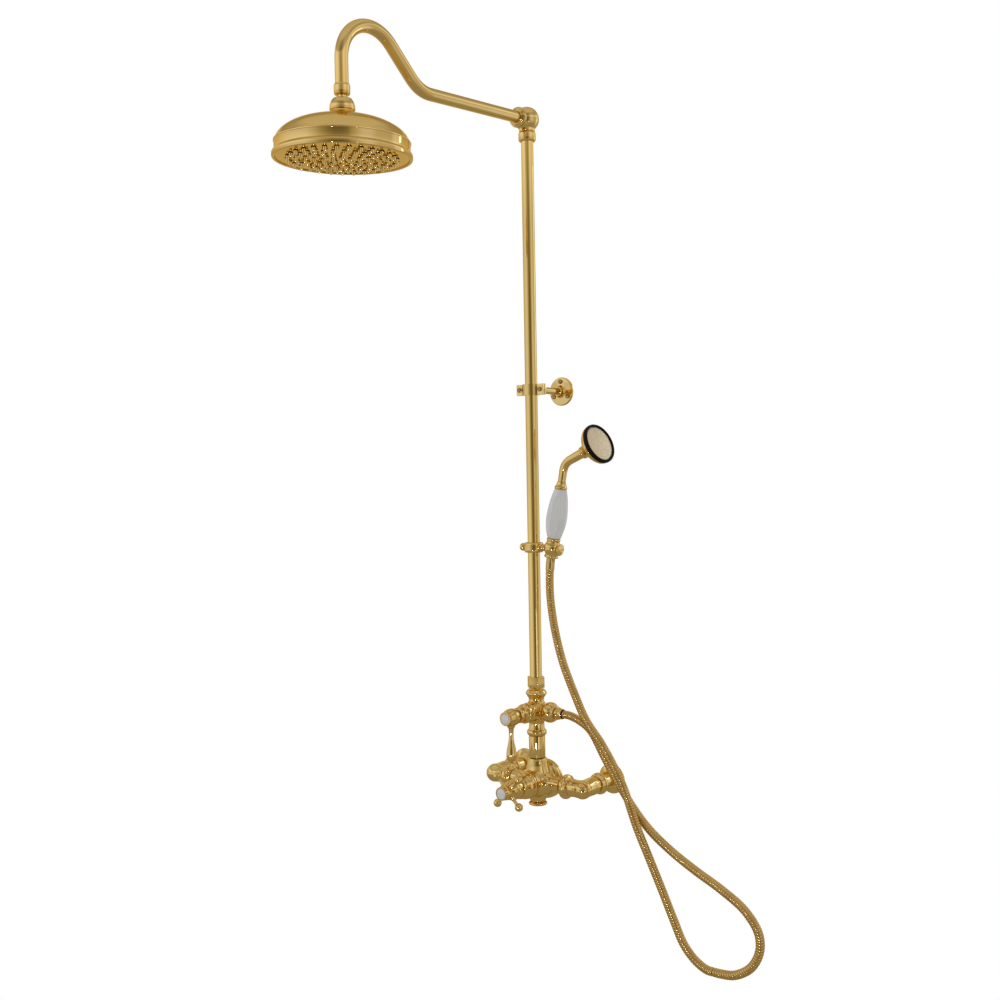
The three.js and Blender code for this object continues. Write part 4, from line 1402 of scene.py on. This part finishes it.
@dataclass
class Studio:
    """The camera, the pale floor and the soft light.

    Attributes:
        yaw: Turn of the camera about the upright.
        pitch: How far it looks down.
        roll: Its turn about its own axis.
        eye: Where it stands, in metres.
        lens: Its focal length, for a 36 mm frame.
        horizon: Grey levels round the horizon, by bearing in degrees from the middle of the darker gap.
        bands: Grey levels from straight down, at 0, to straight up, at 1.
        fade: How much of the horizon's levels shows at each of those heights.
        overhead: The grey level where they don't show.
        floor_z: Height of the floor in metres.
        floor_half: Half its side in metres.
        floor_colour: Its linear colour.
        floor_glow: Its brightness in reflections, near the column and far from it.
    """

    yaw: float = math.radians(39.41)
    pitch: float = math.radians(1.82)
    roll: float = math.radians(-1.0)
    eye: tuple[float, float, float] = (1.2422, -1.6901, 0.5516)
    lens: float = 42.5
    horizon: tuple[tuple[float, float], ...] = (
        (-180, 0.55), (-150, 0.52), (-125, 0.58), (-100, 0.66), (-80, 0.7), (-55, 0.68), (-41, 0.54),
        (-29, 0.36), (-17, 0.21), (-6, 0.14), (6, 0.14), (16, 0.21), (22, 0.38), (30, 0.5), (40, 0.66),
        (53, 0.68), (67, 0.54), (95, 0.52), (104, 0.74), (118, 0.74), (124, 0.5), (150, 0.52), (180, 0.55),
    )
    bands: tuple[tuple[float, float], ...] = (
        (0, 0.6), (0.3, 0.82), (0.38, 1.05), (0.46, 1.1), (0.5, 1), (0.6, 1), (0.64, 1.4), (0.72, 1.4),
        (0.76, 0.75), (0.86, 0.75), (0.92, 1.05), (1, 1),
    )
    fade: tuple[tuple[float, float], ...] = (
        (0, 0), (0.05, 0), (0.15, 1), (0.56, 1), (0.63, 0.75), (0.8, 0.6), (0.92, 0),
    )
    overhead: float = 0.58
    floor_z: float = -0.75
    floor_half: float = 3.0
    floor_colour: tuple[float, float, float] = (0.4, 0.38, 0.33)
    floor_glow: tuple[float, float] = (0.1, 0.26)

    def build_camera(self) -> None:
        """Makes the camera and sets it."""
        data = bpy.data.cameras.new("camera")
        data.lens = self.lens
        data.sensor_width = 36
        camera = bpy.data.objects.new("camera", data)
        turn = Matrix.Rotation(self.yaw, 4, "Z") @ Matrix.Rotation(math.pi / 2 - self.pitch, 4, "X")
        camera.matrix_world = Matrix.Translation(self.eye) @ turn @ Matrix.Rotation(self.roll, 4, "Z")
        bpy.context.scene.collection.objects.link(camera)
        bpy.context.scene.camera = camera

    def build(self) -> None:
        """Makes the floor, the surroundings and the lights."""
        self._floor()
        self._surroundings()
        self._softbox("softbox_behind", (1.05, 1.9, 1.2), (0.25, 0.8), 1.3)
        self._softbox("strip_right", (2.1, -1.25, -0.28), (0.12, 0.56), 0.9)
        self._softbox("spot_left", (1.0, -2.4, -0.5), (0.16, 0.16), 6.0)
        scene = bpy.context.scene
        scene.view_settings.view_transform = "Standard"
        scene.view_settings.look = "None"

    def _floor(self) -> None:
        """A pale floor below the hose, white to the camera and dimmer in the brass's reflections."""
        bm = bmesh.new()
        bmesh.ops.create_grid(bm, x_segments=1, y_segments=1, size=self.floor_half)
        bmesh.ops.translate(bm, vec=(0, 0, self.floor_z), verts=bm.verts)
        mesh = bpy.data.meshes.new("floor")
        bm.to_mesh(mesh)
        bm.free()
        floor = bpy.data.objects.new("floor", mesh)
        bpy.context.scene.collection.objects.link(floor)
        pale = bpy.data.materials.new("floor_paint")
        pale.use_nodes = True
        nodes = pale.node_tree.nodes
        link = pale.node_tree.links.new
        shader = nodes["Principled BSDF"]
        shader.inputs["Base Color"].default_value = (*self.floor_colour, 1)
        shader.inputs["Roughness"].default_value = 0.9
        shader.inputs["Emission Color"].default_value = (1, 0.93, 0.75, 1)
        place = nodes.new("ShaderNodeTexCoord")
        away = nodes.new("ShaderNodeVectorMath")
        away.operation = "LENGTH"
        link(place.outputs["Object"], away.inputs[0])
        glow = nodes.new("ShaderNodeMapRange")
        glow.inputs["From Min"].default_value = 1.5
        glow.inputs["From Max"].default_value = 6.0
        glow.inputs["To Min"].default_value = self.floor_glow[0]
        glow.inputs["To Max"].default_value = self.floor_glow[1]
        link(away.outputs["Value"], glow.inputs["Value"])
        link(glow.outputs["Result"], shader.inputs["Emission Strength"])
        white = nodes.new("ShaderNodeEmission")
        seen = nodes.new("ShaderNodeLightPath")
        either = nodes.new("ShaderNodeMixShader")
        link(seen.outputs["Is Camera Ray"], either.inputs["Fac"])
        link(shader.outputs["BSDF"], either.inputs[1])
        link(white.outputs["Emission"], either.inputs[2])
        link(either.outputs["Shader"], nodes["Material Output"].inputs["Surface"])
        mesh.materials.append(pale)

    def _surroundings(self) -> None:
        """A white studio: bright all round, with a darker gap on the side that faces the column's front."""
        world = bpy.data.worlds.new("studio")
        bpy.context.scene.world = world
        world.use_nodes = True
        nodes = world.node_tree.nodes
        link = world.node_tree.links.new
        nodes.clear()
        place = nodes.new("ShaderNodeTexCoord")
        turn = nodes.new("ShaderNodeMapping")
        turn.vector_type = "POINT"
        turn.inputs["Rotation"].default_value = (0, 0, math.pi / 2 - self.yaw)
        link(place.outputs["Generated"], turn.inputs["Vector"])
        split = nodes.new("ShaderNodeSeparateXYZ")
        link(turn.outputs["Vector"], split.inputs["Vector"])
        bearing = nodes.new("ShaderNodeMath")
        bearing.operation = "ARCTAN2"
        link(split.outputs["Y"], bearing.inputs[0])
        link(split.outputs["X"], bearing.inputs[1])
        share = nodes.new("ShaderNodeMapRange")
        share.inputs["From Min"].default_value = -math.pi
        share.inputs["From Max"].default_value = math.pi
        link(bearing.outputs["Value"], share.inputs["Value"])
        ramp = nodes.new("ShaderNodeValToRGB")
        round_about = [((bearing + 180) / 360, level) for bearing, level in self.horizon]
        self._fill(ramp.color_ramp, round_about, toned=True)
        link(share.outputs["Result"], ramp.inputs["Fac"])
        height = nodes.new("ShaderNodeMapRange")
        height.inputs["From Min"].default_value = -1.0
        link(split.outputs["Z"], height.inputs["Value"])
        bands = nodes.new("ShaderNodeValToRGB")
        self._fill(bands.color_ramp, self.bands)
        link(height.outputs["Result"], bands.inputs["Fac"])
        pole = nodes.new("ShaderNodeValToRGB")
        self._fill(pole.color_ramp, self.fade)
        link(height.outputs["Result"], pole.inputs["Fac"])
        mixed = nodes.new("ShaderNodeMix")
        mixed.data_type = "RGBA"
        mixed.inputs["A"].default_value = (*self._toned(self.overhead), 1)
        link(pole.outputs["Color"], mixed.inputs["Factor"])
        link(ramp.outputs["Color"], mixed.inputs["B"])
        lit = nodes.new("ShaderNodeMix")
        lit.data_type = "RGBA"
        lit.blend_type = "MULTIPLY"
        lit.inputs["Factor"].default_value = 1.0
        link(mixed.outputs["Result"], lit.inputs["A"])
        link(bands.outputs["Color"], lit.inputs["B"])
        seen = nodes.new("ShaderNodeLightPath")
        glow = nodes.new("ShaderNodeBackground")
        link(lit.outputs["Result"], glow.inputs["Color"])
        plain = nodes.new("ShaderNodeBackground")
        plain.inputs["Color"].default_value = (1, 1, 1, 1)
        either = nodes.new("ShaderNodeMixShader")
        link(seen.outputs["Is Camera Ray"], either.inputs["Fac"])
        link(glow.outputs["Background"], either.inputs[1])
        link(plain.outputs["Background"], either.inputs[2])
        out = nodes.new("ShaderNodeOutputWorld")
        link(either.outputs["Shader"], out.inputs["Surface"])

    @staticmethod
    def _toned(level: float) -> tuple[float, float, float]:
        """A grey of the surroundings: cool where it is bright and warm where it is dark."""
        green = level * (0.83 + 0.05 * level + 0.32 * level**2)
        blue = level * (0.4 + 0.1 * level + 1.5 * level**2)
        return level, green, blue

    def _fill(
        self, ramp: bpy.types.ColorRamp, levels: Sequence[tuple[float, float]], toned: bool = False
    ) -> None:
        """Fills a ramp.

        Args:
            ramp: The ramp to fill.
            levels: Pairs of a place on it and a grey level.
            toned: Whether the levels take the surroundings' tint.
        """
        while len(ramp.elements) > 1:
            ramp.elements.remove(ramp.elements[0])
        for i, (where, level) in enumerate(levels):
            element = ramp.elements[0] if i == 0 else ramp.elements.new(where)
            element.position = where
            element.color = (*(self._toned(level) if toned else (level,) * 3), 1)

    @staticmethod
    def _softbox(name: str, at: Sequence[float], size: tuple[float, float], power: float) -> None:
        """An area light aimed at the middle of the column.

        Args:
            name: Its name.
            at: Where it stands, in metres.
            size: Its width and height.
            power: Its power in watts.
        """
        data = bpy.data.lights.new(name, "AREA")
        data.shape = "RECTANGLE"
        data.size, data.size_y = size
        data.energy = power
        data.color = LAMP_TINT
        lamp = bpy.data.objects.new(name, data)
        lamp.location = at
        lamp.rotation_euler = (LAMP_AIM - Vector(at)).to_track_quat("-Z", "Y").to_euler()
        bpy.context.scene.collection.objects.link(lamp)


def main() -> None:
    """Builds the camera and the hose first, then every sub-assembly."""
    logging.basicConfig(level=logging.INFO, format="%(name)s: %(message)s")
    studio = Studio()
    studio.build_camera()
    Hose().build()
    for assembly in (
        Inlet(Side.LEFT),
        Inlet(Side.RIGHT),
        Valve(),
        CrossHandle(),
        Diverter(),
        Lever(),
        Riser(),
        WallBracket(),
        SwanArm(),
        RainHead(),
        Slider(),
        HandShower(),
        Inner(),
    ):
        log.info("building %s", type(assembly).__name__)
        assembly.build()
    studio.build()


if __name__ == "__main__":
    main()
